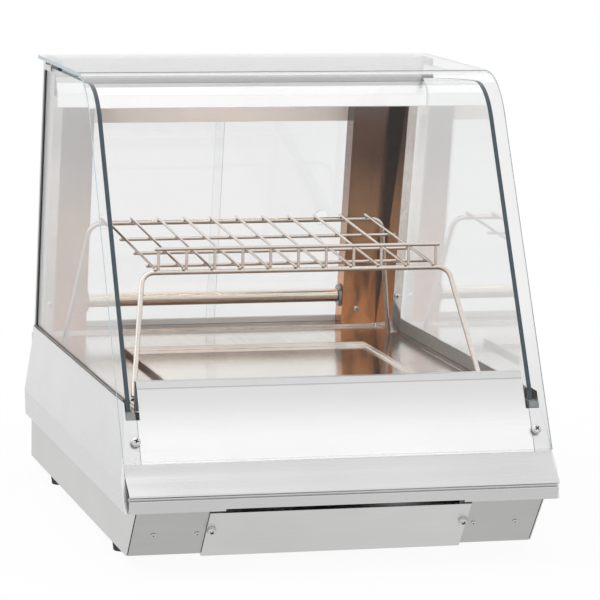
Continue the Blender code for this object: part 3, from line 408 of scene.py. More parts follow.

# ---- Posts, crossbar and rails --------------------------------------------------------------
# The posts are bright rolled stainless, folded and almost mirror-like. Their front and inward
# sides carry a painted reflection, straw to brown to grey, their inward web a painted dark
# reflection, and their outer strip painted light. The crossbar is polished tube with painted
# shade under it, the rails are extruded vinyl.
rolled = {"rough": 0.14, "along": "Z", "pitch": 0.003, "lines": 0.0}
post_steel = ground_steel("stainless_post_bright_rolled", "c6c1bc", "bdb7b2", **rolled)
# Painted dark reflection: the inward web of each post is a nearly black brown copy of its steel.
cheek_reflection_steel = ground_steel("stainless_post_side_painted_reflection", "2b1c14", "21150f", **rolled)
# Painted light: the outer strip of each post is a lighter copy of its steel.
flange_steel = ground_steel("stainless_flange_rolled_painted_light", "efeae6", "d6d0cb", **rolled)
# Heights and colours of the painted reflection on the posts, from foot to lamp.
reflection_low, reflection_high = 0.20, 0.56
reflection_stops = [
    (0.0, "e19b61"), (0.2, "cc8f5e"), (0.45, "a27c5c"),
    (0.7, "6f5140"), (0.85, "6c5244"), (0.95, "6c6561"),
]
# Painted shade under round steel: full brown on faces that look down, fading out on faces that look
# up.
shade_from, shade_to = -0.5, 0.35
cheek_from, flange_from = 0.215, 0.2475
post_edge, post_fold, bar_edge, rail_edge = 0.0003, 0.0022, 0.0004, 0.0002


def painted_reflection(name, stops):
    """Rolled steel with a painted reflection in its colour: straw yellow at the foot, then brown and
    grey near the lamp.
    """
    made = ground_steel(name, "f8f6f4", "ebe8e5", **rolled)
    add, shader, ground, level = reopened(made, "ShaderNodeTexCoord", "Object")
    ends = {"Value": level, "From Min": reflection_low, "From Max": reflection_high}
    reflected_tone = add("ShaderNodeValToRGB", {"Fac": add("ShaderNodeMapRange", ends)})
    row = reflected_tone.color_ramp.elements
    while len(row) < len(stops):
        row.new(0.5)
    for stop, (spot, colour) in zip(row, stops):
        stop.position = spot
        stop.color = linear(colour)
    layers = {0: 1.0, "A": ground, "B": reflected_tone}
    both = add("ShaderNodeMix", layers, data_type="RGBA", blend_type="MULTIPLY")
    feed(shader, {"Base Color": both})
    return made


def shaded_below(made, colour):
    """Paints the underside of round steel brown: painted shade and painted reflection of what lies
    below it.
    """
    add, shader, ground, level = reopened(made, "ShaderNodeNewGeometry", "Normal")
    ends = {"Value": level, "From Min": shade_from, "From Max": shade_to}
    tones = {0: add("ShaderNodeMapRange", ends), "A": linear(colour), "B": ground}
    feed(shader, {"Base Color": add("ShaderNodeMix", tones, data_type="RGBA")})


# Painted reflection on the posts' front and inward sides.
post_reflection_steel = painted_reflection("stainless_post_painted_reflection", reflection_stops)
bar_steel = ground_steel("stainless_tube_polished", "efe7da", "e4dbcd", 0.10, "X", lines=0.02)
# Painted shade and reflection under the crossbar.
shaded_below(bar_steel, "94765f")
disc_steel = ground_steel("stainless_disc_turned", "9c9894", "7e7a77", 0.22, "X", lines=0.03)


def on_flange(face):
    """True for the outer strip of a post, which lies along the side glass."""
    return abs(face.calc_center_median().x) > flange_from


def looks_inward(face):
    """True for the sides of a post that look to the middle of the case."""
    return face.normal.x * face.calc_center_median().x < 0 and abs(face.normal.x) > 0.7


def on_cheek(face):
    """True for the inward side of a post's flange web."""
    return looks_inward(face) and cheek_from < abs(face.calc_center_median().x) <= flange_from


def on_front(face):
    """True for the sides of a post that look to the front and along the rear opening."""
    return face.normal.y < -0.6 or looks_inward(face)


# Rigid vinyl is satin and warm white, with faint drawing lines along it.
drawing = {"scale": 1.0, "detail": 2.0, "relief": 0.05, "stretch": (4, 900, 900)}
rail_vinyl = two_toned("vinyl_rail_extruded", "f3efeb", "faf7f4", 0.35, **drawing)
post_faces = [(flange_steel, on_flange), (cheek_reflection_steel, on_cheek), (post_reflection_steel, on_front)]
for word in ("left", "right"):
    broken_edges("post_" + word, post_steel, post_edge, post_fold, post_faces)
    broken_edges("crossbar_disc_" + word, disc_steel, bar_edge)
broken_edges("crossbar", bar_steel, bar_edge)
broken_edges("lower_track", rail_vinyl, rail_edge)
broken_edges("upper_track", rail_vinyl, rail_edge)

# ---- Lamp hood ------------------------------------------------------------------------------
# A canopy of folded sheet across the rear of the top. The lamp hangs under it in a bright
# trough, between two ceramic holders.
hood_steel = ground_steel("stainless_hood_ground_across", "ffffff", "fafafa", 0.20, "X")
# Painted shade on the hood's slope: darker towards its top, darker still above its fold line, with a
# painted dark line along it.
slant_name, slant_levels = "stainless_hood_slant_ground_across", (0.5755, 0.5765, 0.5850, 0.0010)
slant_steel = shaded_to_top(slant_name, "ffffff", "f8f8f8", "c8c8c8", "a2a2a2", 0.28, slant_levels)
# Painted shade: the hood's level flats are a darker copy of its steel.
top_shaded_steel = ground_steel("stainless_hood_top_painted_shade", "dcdcdc", "d0d0d0", 0.35, "X")
trough_steel = ground_steel("aluminium_trough_bright", "e4e4e4", "d8d8d8", 0.12, "X", lines=0.04)
trough_edge, holder_edge = 0.0002, 0.0006


def is_level(face):
    """True for the flats of the hood that look straight up or down."""
    return abs(face.normal.z) > 0.9


def slants_forward(face):
    """True for the hood's upper slope, which looks up and to the front."""
    return face.normal.y < 0 and 0.15 < face.normal.z <= 0.9


hood_faces = [(sheared_shaded_steel, is_cut), (top_shaded_steel, is_level), (slant_steel, slants_forward)]
broken_edges("hood", hood_steel, sheet_edge, fold_round, hood_faces)
broken_edges("reflector", trough_steel, trough_edge)

# Unglazed steatite is matt cream with fine dark specks.
specks = {"scale": 1 / 0.0008, "detail": 2.0, "relief": 0.15, "ends": (0.6, 0.75)}
holder_clay = two_toned("steatite_holder_unglazed", "e6dfd0", "b9ae9a", 0.65, **specks)
for word in ("left", "right"):
    broken_edges("lamp_holder_" + word, holder_clay, holder_edge)
lamp_y, lamp_z = 0.2273, 0.5916
lamp_half, lamp_radius, lamp_wall, tube_facets = 0.150, 0.0050, 0.0008, 24
coil_half, coil_radius, coil_wire, coil_turns = 0.128, 0.0024, 0.0007, 64
glow_colour, glow_strength, glow_patch = "ffe2d0", 30.0, 0.03


def tree_started(name, sizes):
    """What adds a node to a new Geometry Nodes tree, and its inputs: source, sizes, finish."""
    tree = bpy.data.node_groups.new(name, "GeometryNodeTree")
    sockets = [("Geometry", "Geometry", None), *sizes, ("Finish", "Material", None)]
    for label, kind, value in sockets:
        socket = tree.interface.new_socket(label, in_out="INPUT", socket_type="NodeSocket" + kind)
        if value is not None:
            socket.default_value = value
    tree.interface.new_socket("Geometry", in_out="OUTPUT", socket_type="NodeSocketGeometry")
    add = partial(add_node, tree)
    return add, add("NodeGroupInput").outputs


def tree_ended(add, given, shape):
    """Ends a Geometry Nodes tree with real geometry that carries its finish, and gives it."""
    single = add("GeometryNodeRealizeInstances", {"Geometry": shape})
    dress = {"Geometry": single, "Material": given["Finish"]}
    return add("NodeGroupOutput", {0: add("GeometryNodeSetMaterial", dress)}).id_data


def grown(name, source, tree, finish, nodes):
    """Runs a Geometry Nodes tree on a source mesh and keeps its result as a plain piece."""
    piece = placed(name, source)
    maker = piece.modifiers.new("grow", "NODES")
    maker.node_group = tree
    for item in tree.interface.items_tree:
        if item.in_out == "INPUT" and item.name == "Finish":
            maker[item.identifier] = finish
    depsgraph = bpy.context.evaluated_depsgraph_get()
    done = piece.evaluated_get(depsgraph)
    mesh = bpy.data.meshes.new_from_object(done, preserve_all_data_layers=True, depsgraph=depsgraph)
    piece.modifiers.remove(maker)
    piece.data = mesh
    for face in mesh.polygons:
        face.use_smooth = True
    mesh.set_sharp_from_angle(angle=round_angle)
    for node in nodes:
        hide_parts(node)
    return piece


def spots(name, places, values=None, edges=()):
    """Mesh of corners, loose or joined, with named numbers or vectors for each."""
    mesh = bpy.data.meshes.new(name)
    mesh.from_pydata(places, edges, [])
    for label, rows in (values or {}).items():
        kind = "FLOAT_VECTOR" if hasattr(rows[0], "__len__") else "FLOAT"
        layer = mesh.attributes.new(label, kind, "POINT")
        for entry, value in zip(layer.data, rows):
            setattr(entry, "vector" if kind == "FLOAT_VECTOR" else "value", value)
    return mesh


def coil_tree():
    """Wound wire along X: a spiral, a round wire along it, moved to the lamp's axis."""
    add, given = tree_started("lamp_coil", [
        ("Turns", "Float", coil_turns), ("Coil Radius", "Float", coil_radius),
        ("Length", "Float", 2 * coil_half), ("Wire", "Float", coil_wire),
    ])
    line = add("GeometryNodeCurveSpiral", {
        "Resolution": 10, "Rotations": given["Turns"], "Start Radius": given["Coil Radius"],
        "End Radius": given["Coil Radius"], "Height": given["Length"],
    })
    ring = add("GeometryNodeCurvePrimitiveCircle", {"Resolution": 5, "Radius": 0.5})
    body = {"Curve": line, "Profile Curve": ring, "Scale": given["Wire"], "Fill Caps": True}
    wound = add("GeometryNodeCurveToMesh", body)
    laid = {"Rotation": (0, math.pi / 2, 0), "Translation": (-coil_half, lamp_y, lamp_z)}
    return tree_ended(add, given, add("GeometryNodeTransform", {"Geometry": wound, **laid}))


def glowing_wire(name, colour, strength):
    """Tungsten wire at dull heat: a warm glow whose strength varies in patches along it."""
    made, add, shader, place = started(name)
    patch = add("ShaderNodeTexNoise", {"Vector": place, "Scale": 1 / glow_patch, "Detail": 1.0})
    limits = {"Value": patch, "To Min": strength * 0.8, "To Max": strength * 1.2}
    feed(shader, {
        "Emission Strength": add("ShaderNodeMapRange", limits),
        "Emission Color": linear(colour), "Base Color": linear("6b625c"), "Roughness": 0.5,
    })
    return made


def lamp_tube(material):
    """Hollow quartz tube with a drawn-down, sealed end on each side."""
    neck, taper = lamp_radius * 0.5, lamp_radius * 1.6
    shoulder, inner = lamp_half - 2 * taper, lamp_radius - lamp_wall
    rim = [(lamp_half, 0), (lamp_half, neck), (lamp_half - taper, neck), (shoulder, lamp_radius)]
    outer = rim + [(-reach, radius) for reach, radius in rim[::-1]]
    hollow = [(-(lamp_half - 2.2 * taper), 0), (-(lamp_half - 2.4 * taper), inner)]
    hollow += [(lamp_half - 2.4 * taper, inner), (lamp_half - 2.2 * taper, 0)]
    middle = Vector((0, lamp_y, lamp_z))
    shape = bmesh.new()
    for line in (outer, hollow):
        ring = [shape.verts.new((reach, lamp_y, lamp_z + radius)) for reach, radius in line]
        edges = [shape.edges.new(pair) for pair in zip(ring, ring[1:])]
        about = {"axis": (1, 0, 0), "cent": middle, "angle": 2 * math.pi, "steps": tube_facets}
        bmesh.ops.spin(shape, geom=ring + edges, use_merge=True, **about)
    bmesh.ops.remove_doubles(shape, verts=shape.verts, dist=merge_reach)
    bmesh.ops.recalc_face_normals(shape, faces=shape.faces)
    for face in shape.faces:
        away = face.calc_center_median() - middle
        inside = math.hypot(away.y, away.z) < inner and abs(away.x) < lamp_half - 2.1 * taper
        if inside == (face.normal.dot(away) > 0):
            face.normal_flip()
        face.smooth = True
    mesh = bpy.data.meshes.new("lamp_tube")
    shape.to_mesh(mesh)
    shape.free()
    mesh.materials.append(material)
    mesh.set_sharp_from_angle(angle=round_angle)
    piece = placed("lamp_tube", mesh)
    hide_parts("heat_lamp")
    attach(piece, "case")


lamp_tube(float_glass("quartz_tube_drawn_clear", "fff8f2", 0.05, glass_bend_light))
glow = glowing_wire("tungsten_coil_wound_glowing", glow_colour, glow_strength)
coil = grown("lamp_coil", spots("lamp_coil_start", [(0, lamp_y, lamp_z)]), coil_tree(), glow, [])
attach(coil, "case")

# ---- Rear panel and its controls ------------------------------------------------------------
# A plain ground sheet closes the rear. It carries a snap-in rocker switch, the knob of the
# thermostat and, below, the inlet for the supply lead.
rear_steel = ground_steel("stainless_rear_ground_across", "dcdcdb", "d1d1d0", 0.32, "X")
broken_edges("rear_panel", rear_steel, sheet_edge, fold_round)
moulded_black = rubber("nylon_black_moulded", "1a1a1b", "242425", 0.4, grain=0.0006)
moulded_edges = {
    "switch_housing": 0.0004, "switch_rocker": 0.0004, "thermostat": 0.0006,
    "thermostat_knob": 0.0006, "cable_gland": 0.0005,
}
for node, edge in moulded_edges.items():
    broken_edges(node, moulded_black, edge)
rear_y = 0.3703
knob_spot = Vector((0.120, rear_y, 0.13825))
tick_ring, number_ring, scale_ticks = 0.0232, 0.0285, 19
tick_size = (0.0005, 0.0022, 0.0002)
number_size, mark_size, print_rise, ink_patch = 0.0052, 0.0070, 0.00025, 0.0012
scale_start, scale_sweep = math.radians(225), math.radians(-270)
pointer_offset, mark_sink, mark_share = 0.008, 0.0005, 0.62


def printed(name, colour):
    """Screen-printed ink: slightly uneven in tone, and satin."""
    made, add, shader, place = started(name)
    uneven = add("ShaderNodeTexNoise", {"Vector": place, "Scale": 1 / ink_patch, "Detail": 3.0})
    tones = {0: uneven, "A": linear(colour), "B": linear(colour, 0.8)}
    tone = add("ShaderNodeMix", tones, data_type="RGBA")
    feed(shader, {"Base Color": tone, "Roughness": 0.45})
    return made


def tick_tree():
    """Short bars round an arc on the rear panel, from the lowest to the highest setting."""
    add, given = tree_started("dial_ticks", [
        ("Ticks", "Int", scale_ticks), ("Ring", "Float", tick_ring),
        ("Tick Size", "Vector", tick_size),
    ])
    sweep = {"Start Angle": scale_start, "Sweep Angle": scale_sweep}
    sizes = {"Resolution": given["Ticks"], "Radius": given["Ring"], **sweep}
    arc = add("GeometryNodeCurveArc", sizes, mode="RADIUS")
    along = {"Vector": add("GeometryNodeInputPosition")}
    turned = add("FunctionNodeAlignRotationToVector", along, axis="Y", pivot_axis="Z")
    bar = add("GeometryNodeMeshCube", {"Size": given["Tick Size"]})
    put = {"Points": arc, "Instance": bar, "Rotation": turned}
    stood = add("GeometryNodeTransform", {
        "Geometry": add("GeometryNodeInstanceOnPoints", put),
        "Rotation": (math.pi / 2, 0, math.pi),
        "Translation": knob_spot + Vector((0, print_rise, 0)),
    })
    return tree_ended(add, given, stood)


def lettered(name, words, size, place, finish, body):
    """Flat generic mark or number on a surface that faces the rear."""
    text = bpy.data.curves.new(name, "FONT")
    text.body, text.size, text.extrude = words, size, print_rise / 2
    text.align_x, text.align_y = "CENTER", "CENTER"
    holder = placed(name + "_line", text)
    depsgraph = bpy.context.evaluated_depsgraph_get()
    mesh = bpy.data.meshes.new_from_object(holder.evaluated_get(depsgraph))
    bpy.data.objects.remove(holder)
    facing_rear = Matrix(((-1, 0, 0), (0, 0, 1), (0, 1, 0))).to_4x4()
    mesh.transform(Matrix.Translation(place) @ facing_rear)
    mesh.materials.clear()
    mesh.materials.append(finish)
    piece = placed(name, mesh)
    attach(piece, body)


dark_ink = printed("ink_dark_screen_printed", "2b2b2c")
white_ink = printed("ink_white_pad_printed", "e8e8e6")
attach(grown("dial_ticks", spots("dial_start", [knob_spot]), tick_tree(), dark_ink, []), "case")
settings = ("30", "45", "60", "75", "90")
for i, words in enumerate(settings):
    angle = scale_start + scale_sweep * i / (len(settings) - 1)
    aside = Vector((-math.cos(angle), 0, math.sin(angle))) * number_ring
    spot = knob_spot + aside + Vector((0, print_rise, 0))
    lettered("dial_number_" + words, words, number_size, spot, dark_ink, "case")
knob_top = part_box("thermostat_knob")[1].y
pointer_place = Vector((knob_spot.x, knob_top + print_rise / 2, knob_spot.z + pointer_offset))
lettered("knob_pointer", "I", mark_size, pointer_place, white_ink, "thermostat_knob")
rocker_low, rocker_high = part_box("switch_rocker")
rocker_mid = (rocker_low + rocker_high) / 2
for words, share in (("I", mark_share), ("O", -mark_share)):
    level = rocker_mid.z + share * (rocker_high.z - rocker_low.z) / 2
    spot = Vector((rocker_mid.x, rocker_high.y - mark_sink, level))
    lettered("switch_mark_" + words, words, mark_size, spot, white_ink, "switch_rocker")

# ---- Screws ---------------------------------------------------------------------------------
# Cross-recess screws of stainless steel: domed ones through the front glass and in the posts,
# low ones in the corner panels, and two round thumb screws that hold the access cover.
apron_out = Vector((0, -1, 0.565)).normalized()
base_out = Vector((0, -1, -0.814)).normalized()
post_out = Vector((0, -1, -0.172)).normalized()
screw_rows = [
    ("pane_screw_", (0.2666, -0.35281, 0.16635), apron_out, 0.0122, 0.40, 0.0075),
    ("corner_screw_inner_", (0.1849, -0.34709, 0.0437), base_out, 0.0061, 0.26, 0.0030),
    ("corner_screw_outer_", (0.2420, -0.34709, 0.0437), base_out, 0.0061, 0.26, 0.0030),
    ("post_screw_", (0.2125, 0.34727, 0.2225), post_out, 0.0090, 0.40, 0.0030),
    ("flange_screw_", (0.2564, 0.28111, 0.2498), post_out, 0.0090, 0.40, 0.0030),
]
thumb_row = ("thumb_screw_", (0.168, -0.355843, 0.0497), base_out, 0.0124, 0.48, 0.0060)
rub_size = 0.0015


def screw_tree():
    """Domed head with a cross cut into it, and its shank, stood on every given corner."""
    add, given = tree_started("cross_recess_screws", [
        ("Facets", "Int", 28), ("Rim Share", "Float", 0.38), ("Cross Width", "Float", 0.13),
        ("Cross Length", "Float", 0.56), ("Cross Floor", "Float", 0.42),
        ("Shank Share", "Float", 0.40), ("Seed", "Int", 7),
    ])
    disc = add("GeometryNodeMeshCylinder", {
        "Vertices": given["Facets"], "Side Segments": 2, "Fill Segments": 6, "Radius": 0.5,
        "Depth": 1.0,
    })
    at = add("GeometryNodeInputPosition")
    parts = add("ShaderNodeSeparateXYZ", {0: at}).outputs
    flat = add("ShaderNodeVectorMath", {0: at, 1: (2, 2, 0)}, operation="MULTIPLY")
    square = add("ShaderNodeVectorMath", {0: flat, 1: flat}, operation="DOT_PRODUCT")
    left = add("ShaderNodeMath", {0: 1.0, 1: square}, operation="SUBTRACT", use_clamp=True)
    curve = add("ShaderNodeMath", {0: left}, operation="SQRT")
    bulge = add("ShaderNodeMapRange", {"Value": curve, "To Min": given["Rim Share"], "To Max": 1.0})
    lifted = add("ShaderNodeMath", {0: parts["Z"], 1: 0.5}, operation="ADD")
    wall = add("ShaderNodeMath", {0: lifted, 1: given["Rim Share"]}, operation="MULTIPLY")
    is_top = add("ShaderNodeMath", {0: parts["Z"], 1: 0.4}, operation="GREATER_THAN")
    level = add("ShaderNodeMix", {0: is_top, "A": wall, "B": bulge})
    place = add("ShaderNodeCombineXYZ", {0: parts["X"], 1: parts["Y"], 2: level})
    head = add("GeometryNodeSetPosition", {"Geometry": disc, "Position": place})
    size = {0: given["Cross Length"], 1: given["Cross Width"], 2: 1.0}
    slot = add("GeometryNodeMeshCube", {"Size": add("ShaderNodeCombineXYZ", size)})
    # The cross's faces are marked as recess, which the screw finish paints in shade.
    plain, marked = [
        add("GeometryNodeStoreNamedAttribute",
            {"Geometry": shape, "Name": "recess", "Value": value}, domain="FACE")
        for shape, value in ((head, 0.0), (slot, 1.0))
    ]
    middle = add("ShaderNodeMath", {0: given["Cross Floor"], 1: 0.5}, operation="ADD")
    over = add("ShaderNodeCombineXYZ", {2: middle})
    first = add("GeometryNodeTransform", {"Geometry": marked, "Translation": over})
    quarter = (0, 0, math.pi / 2)
    second = add("GeometryNodeTransform", {"Geometry": first, "Rotation": quarter})
    cutting = add("GeometryNodeMeshBoolean", operation="DIFFERENCE", solver="EXACT")
    feed(cutting, {"Mesh 1": plain})
    for arm in (first, second):
        feed(cutting, {"Mesh 2": arm})
    half = add("ShaderNodeMath", {0: given["Shank Share"], 1: 0.5}, operation="MULTIPLY")
    pin = add("GeometryNodeMeshCylinder", {"Vertices": 14, "Radius": half, "Depth": 1.0})
    shank = add("GeometryNodeTransform", {"Geometry": pin, "Translation": (0, 0, -0.5)})
    towards, wide, high, deep = [
        add("GeometryNodeInputNamedAttribute", {"Name": name}, data_type=kind)
        for name, kind in (
            ("towards", "FLOAT_VECTOR"), ("head", "FLOAT"), ("rise", "FLOAT"), ("shank", "FLOAT"),
        )
    ]
    turn = add("FunctionNodeAlignRotationToVector", {"Vector": towards}, axis="Z")
    draw = {2: 0.0, 3: math.pi / 2, "Seed": given["Seed"]}
    spun = add("FunctionNodeRandomValue", draw, data_type="FLOAT")
    spin = add("ShaderNodeCombineXYZ", {2: spun})
    both = add("GeometryNodeJoinGeometry")
    for shape, tall in ((cutting, high), (shank, deep)):
        scale = add("ShaderNodeCombineXYZ", {0: wide, 1: wide, 2: tall})
        put = {"Points": given["Geometry"], "Instance": shape, "Rotation": turn, "Scale": scale}
        stood = add("GeometryNodeInstanceOnPoints", put)
        turns = {"Instances": stood, "Rotation": spin, "Local Space": True}
        feed(both, {0: add("GeometryNodeRotateInstances", turns)})
    return tree_ended(add, given, both)


def turned_steel(name, pale, dark, deep, rough):
    """Cold-headed stainless: a bright worn head, and painted shade in the cross recess."""
    made, add, shader, place = started(name)
    rubbed = add("ShaderNodeTexNoise", {"Vector": place, "Scale": 1 / rub_size, "Detail": 3.0})
    tone = add("ShaderNodeMix", {0: rubbed, "A": linear(dark), "B": linear(pale)}, data_type="RGBA")
    # Painted shade: faces marked as recess take the deep colour.
    cut = add("ShaderNodeAttribute", attribute_name="recess").outputs["Fac"]
    whole = add("ShaderNodeMix", {0: cut, "A": tone, "B": linear(deep)}, data_type="RGBA")
    limits = {"Value": rubbed, "To Min": rough * 0.7, "To Max": rough * 1.3}
    polish = add("ShaderNodeMapRange", limits)
    feed(shader, {"Base Color": whole, "Roughness": polish, "Metallic": 1.0})
    return made


screw_steel = turned_steel("stainless_screw_cold_headed", "e4e4e3", "c6c6c5", "3a3a3b", 0.16)
heads = screw_tree()


def on_both_sides(rows):
    """Each row once for the left and once for the right."""
    return [
        (kind + word, (side * place[0], *place[1:]), *sizes)
        for kind, place, *sizes in rows for word, side in (("left", -1), ("right", 1))
    ]


def screws(name, body, rows):
    """One piece with all the screws that a body carries; rows give node, place and sizes."""
    values = {
        "towards": [tuple(row[2]) for row in rows], "head": [row[3] for row in rows],
        "rise": [row[3] * row[4] for row in rows], "shank": [row[5] for row in rows],
    }
    mesh = spots(name + "_places", [row[1] for row in rows], values)
    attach(grown(name, mesh, heads, screw_steel, [row[0] for row in rows]), body)


screws("case_screws", "case", on_both_sides(screw_rows))
for row in on_both_sides([thumb_row]):
    screws(row[0] + "_made", row[0], [row])

# ---- Rack -----------------------------------------------------------------------------------
# Welded shelf of bright nickel-plated rod, loose on the deck: two bent frames with splayed
# legs, three cross rods, eleven wires, and a fence of uprights with a rail along the front.
frame_rod, cross_rod, wire = 0.0070, 0.0050, 0.0040
bar_half, foot_half, rod_half, rail_half = 0.2115, 0.2390, 0.1965, 0.1955
rack_front, rack_back, front_foot, back_foot = -0.1207, 0.2153, -0.2007, 0.2653
shelf_level, shelf_slope, weld_sink, fence_rise = 0.3542, 0.072, 0.0006, 0.0264
front_foot_level, back_foot_level = 0.1970, 0.1964
wire_pitch, wire_count, wire_shift, wire_overhang = 0.0384, 11, 0.00215, 0.008
rod_places = (-0.0817, 0.0019, 0.0957)
bead_drop, bead_size = 0.4 * wire, 1.15 * wire


def shelf_z(place):
    """Height of the wires' centre line at a depth."""
    return shelf_level + shelf_slope * (place - rack_front)


def wire_tree():
    """Round wire along every line, bent where lines turn, and a bead on every loose corner."""
    add, given = tree_started("welded_wire", [
        ("Facets", "Int", 14), ("Bend Radius", "Float", 0.0185), ("Bend Steps", "Int", 8),
    ])
    thick, bead = [
        add("GeometryNodeInputNamedAttribute", {"Name": name}, data_type="FLOAT")
        for name in ("thick", "bead")
    ]
    line = add("GeometryNodeMeshToCurve", {"Mesh": given["Geometry"]})
    bends = {"Count": given["Bend Steps"], "Radius": given["Bend Radius"], "Limit Radius": True}
    bent = add("GeometryNodeFilletCurve", {"Curve": line, **bends}, mode="POLY")
    ring = add("GeometryNodeCurvePrimitiveCircle", {"Resolution": given["Facets"], "Radius": 0.5})
    body = {"Curve": bent, "Profile Curve": ring, "Scale": thick, "Fill Caps": True}
    wires = add("GeometryNodeCurveToMesh", body)
    ball = add("GeometryNodeMeshIcoSphere", {"Radius": 0.5, "Subdivisions": 2})
    put = {"Points": given["Geometry"], "Selection": bead, "Instance": ball, "Scale": bead}
    both = add("GeometryNodeJoinGeometry")
    for shape in (wires, add("GeometryNodeInstanceOnPoints", put)):
        feed(both, {0: shape})
    return tree_ended(add, given, both)


def rack_lines():
    """Every wire of the rack as lines with a thickness, and its weld beads as loose corners."""
    lines, beads = [], []
    ends = ((rack_front, front_foot, front_foot_level), (rack_back, back_foot, back_foot_level))
    for place, foot, foot_level in ends:
        level = shelf_z(place) + weld_sink - (frame_rod + wire) / 2
        half = [(foot_half, foot, foot_level), (bar_half, place, level)]
        lines.append(([(-a, b, c) for a, b, c in half] + half[::-1], frame_rod))
    for place in rod_places:
        level = shelf_z(place) + weld_sink - (cross_rod + wire) / 2
        lines.append(([(-rod_half, place, level), (rod_half, place, level)], cross_rod))
        beads += [((side * rod_half, place, level), cross_rod) for side in (-1, 1)]
    near, far = rack_front - frame_rod / 2, rack_back + wire_overhang
    foot = shelf_z(rack_front) + weld_sink - (frame_rod + wire) / 2
    top = shelf_z(rack_front) + fence_rise
    for i in range(wire_count):
        middle = (i - (wire_count - 1) / 2) * wire_pitch
        reach, aside = middle - wire_shift, middle + wire_shift
        lines.append(([(reach, near, shelf_z(near)), (reach, far, shelf_z(far))], wire))
        lines.append(([(aside, rack_front, foot), (aside, rack_front, top)], wire))
        beads += [((reach, place, shelf_z(place)), wire) for place in (near, far)]
        for place in rod_places + (rack_front, rack_back):
            beads.append(((reach, place, shelf_z(place) - bead_drop), bead_size))
        beads.append(((aside, rack_front, top - bead_drop), bead_size))
    rail_ends = (wire_shift - rail_half, wire_shift + rail_half)
    lines.append(([(end, rack_front, top) for end in rail_ends], cross_rod))
    beads += [((end, rack_front, top), cross_rod) for end in rail_ends]
    places, edges, thick = [], [], []
    for line, size in lines:
        edges += [(len(places) + i, len(places) + i + 1) for i in range(len(line) - 1)]
        places += line
        thick += [size] * len(line)
    values = {
        "thick": thick + [0.0] * len(beads),
        "bead": [0.0] * len(places) + [size for place, size in beads],
    }
    return spots("rack_lines", places + [place for place, size in beads], values, edges)


rod_look = {"rough": 0.06, "along": "X", "pitch": 0.0016, "lines": 0.01}
rack_steel = ground_steel("steel_wire_nickel_plated", "ebe3dc", "d6cbc1", **rod_look)
# Painted shade and reflection under the rack's rods and wires.
shaded_below(rack_steel, "8a715f")
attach(grown("rack_made", rack_lines(), wire_tree(), rack_steel, ["rack"]), "rack")

# ---- Studio: floor, light and camera --------------------------------------------------------
# A pale floor that turns white away from the case, a white room, and two large soft lamps. The
# camera stands 4.6 m in front, a little to the left, with a long lens.
floor_reach = 12.0
floor_fade_start, floor_fade_end = 0.5, 1.6
floor_colour, floor_shadow_share = "f4f4f4", 0.08
floor_mirrored, floor_mirrored_front, floor_mirrored_rear = 0.78, 1.0, 0.88
floor_mirrored_near, floor_mirrored_far = 0.7, 2.2
room_light, room_mirrored_rear = 0.90, 0.95
room_lift, room_turn = 1.2, -0.9
lamps_target = (0, 0, 0.3)


def floor_finish():
    """Pale floor with a faint shadow, plain white further off; metal sees it with painted shade,
    darker near the case and towards the rear.
    """
    made, add, shader, place = started("studio_floor_pale")
    looks = {"Base Color": linear(floor_colour), "Roughness": 0.9, "Specular IOR Level": 0.0}
    feed(shader, looks)
    away = add("ShaderNodeVectorMath", {0: place}, operation="LENGTH")
    limits = {"From Min": floor_fade_start, "From Max": floor_fade_end}
    limits.update({"Value": away, "To Min": 1 - floor_shadow_share})
    fade = add("ShaderNodeMapRange", limits, interpolation_type="SMOOTHSTEP")
    white = add("ShaderNodeEmission", {"Strength": 1.0})
    seen = add("ShaderNodeMixShader", {0: fade, 1: shader, 2: white})
    # What metal sees is an emission with painted shade: dim near the case, white in front, a little
    # dim behind.
    depth = add("ShaderNodeSeparateXYZ", {0: place}).outputs["Y"]
    sides = {"Value": depth, "From Min": -1.0, "From Max": 1.0}
    sides.update({"To Min": floor_mirrored_front, "To Max": floor_mirrored_rear})
    near = {"Value": away, "From Min": floor_mirrored_near, "From Max": floor_mirrored_far}
    near.update({"To Min": floor_mirrored, "To Max": add("ShaderNodeMapRange", sides)})
    level = add("ShaderNodeMapRange", near, interpolation_type="SMOOTHSTEP")
    mirrored = add("ShaderNodeEmission", {"Strength": level})
    glossy = add("ShaderNodeLightPath").outputs["Is Glossy Ray"]
    mixed = add("ShaderNodeMixShader", {0: glossy, 1: seen, 2: mirrored})
    feed(made.node_tree.nodes["Material Output"], {"Surface": mixed})
    return made


floor_mesh = bpy.data.meshes.new("studio_floor")
corners = [(a * floor_reach, b * floor_reach, 0) for a, b in ((-1, -1), (1, -1), (1, 1), (-1, 1))]
floor_mesh.from_pydata(corners, [], [(0, 1, 2, 3)])
floor_mesh.materials.append(floor_finish())
floor = placed("studio_floor", floor_mesh)

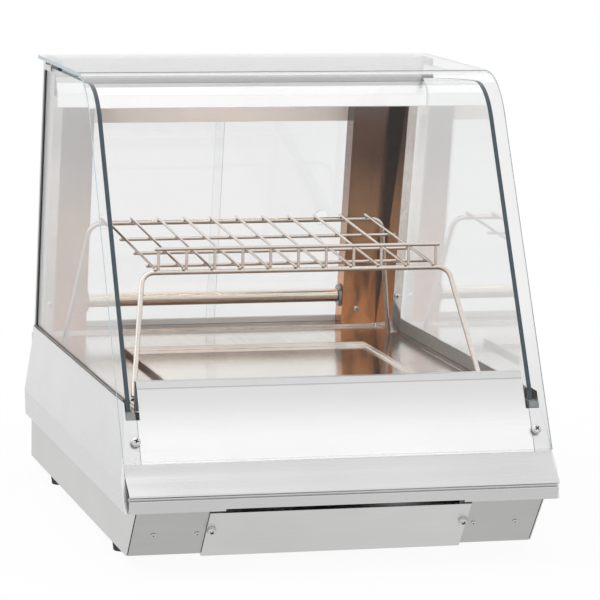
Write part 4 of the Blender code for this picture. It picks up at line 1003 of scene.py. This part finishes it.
world = bpy.data.worlds.new("studio_room")
world.use_nodes = True
add = partial(add_node, world.node_tree)
ray = add("ShaderNodeLightPath").outputs
seen = {0: ray["Is Camera Ray"], 1: ray["Is Transmission Ray"]}
clear = add("ShaderNodeMath", seen, operation="ADD", use_clamp=True)
direction = add("ShaderNodeTexCoord").outputs["Generated"]
parts = add("ShaderNodeSeparateXYZ", {0: direction}).outputs
lift = add("ShaderNodeMath", {0: parts["Z"], 1: room_lift, 2: 0.5}, operation="MULTIPLY_ADD")
share = add("ShaderNodeMath", {0: parts["Y"], 1: room_turn, 2: lift}, operation="MULTIPLY_ADD")
tone = add("ShaderNodeMapRange", {"Value": share, "To Min": room_mirrored_rear, "To Max": 1.0})
mirrored = add("ShaderNodeMix", {0: ray["Is Glossy Ray"], "A": room_light, "B": tone})
level = add("ShaderNodeMix", {0: clear, "A": mirrored, "B": 1.0})
feed(world.node_tree.nodes["Background"], {"Strength": level, "Color": (1, 1, 1, 1)})
bpy.context.scene.world = world


def soft_lamp(name, place, size, power):
    """Large soft lamp that faces the middle of the case."""
    data = bpy.data.lights.new(name, "AREA")
    data.shape = "SQUARE"
    data.size = size
    data.energy = power
    lamp = placed(name, data)
    lamp.location = place
    lamp.rotation_mode = "QUATERNION"
    lamp.rotation_quaternion = (Vector(lamps_target) - Vector(place)).to_track_quat("-Z", "Y")


soft_lamp("soft_lamp_above", (-0.9, -0.1, 3.2), 2.4, 14)
soft_lamp("soft_lamp_left", (-2.4, 0.4, 1.6), 2.2, 9)

camera_place = Vector((-1.1621, -4.6340, 0.9953))
camera_turn, camera_tilt, camera_roll = map(math.radians, (-14.5024, 8.3797, 0.8567))
focal_length, sensor_width = 210.3, 36.0
camera_data = bpy.data.cameras.new("camera")
camera_data.lens = focal_length
camera_data.sensor_width = sensor_width
camera_data.clip_end = 100
camera = placed("camera", camera_data)
level_right = Vector((math.cos(camera_turn), math.sin(camera_turn), 0))
behind = Vector((
    math.sin(camera_turn) * math.cos(camera_tilt),
    -math.cos(camera_turn) * math.cos(camera_tilt),
    math.sin(camera_tilt),
))
level_up = behind.cross(level_right)
right = level_right * math.cos(camera_roll) + level_up * math.sin(camera_roll)
up = level_up * math.cos(camera_roll) - level_right * math.sin(camera_roll)
camera_axes = Matrix((right, up, behind)).transposed().to_4x4()
camera.matrix_world = Matrix.Translation(camera_place) @ camera_axes
bpy.context.scene.camera = camera
bpy.context.scene.view_settings.view_transform = "Standard"
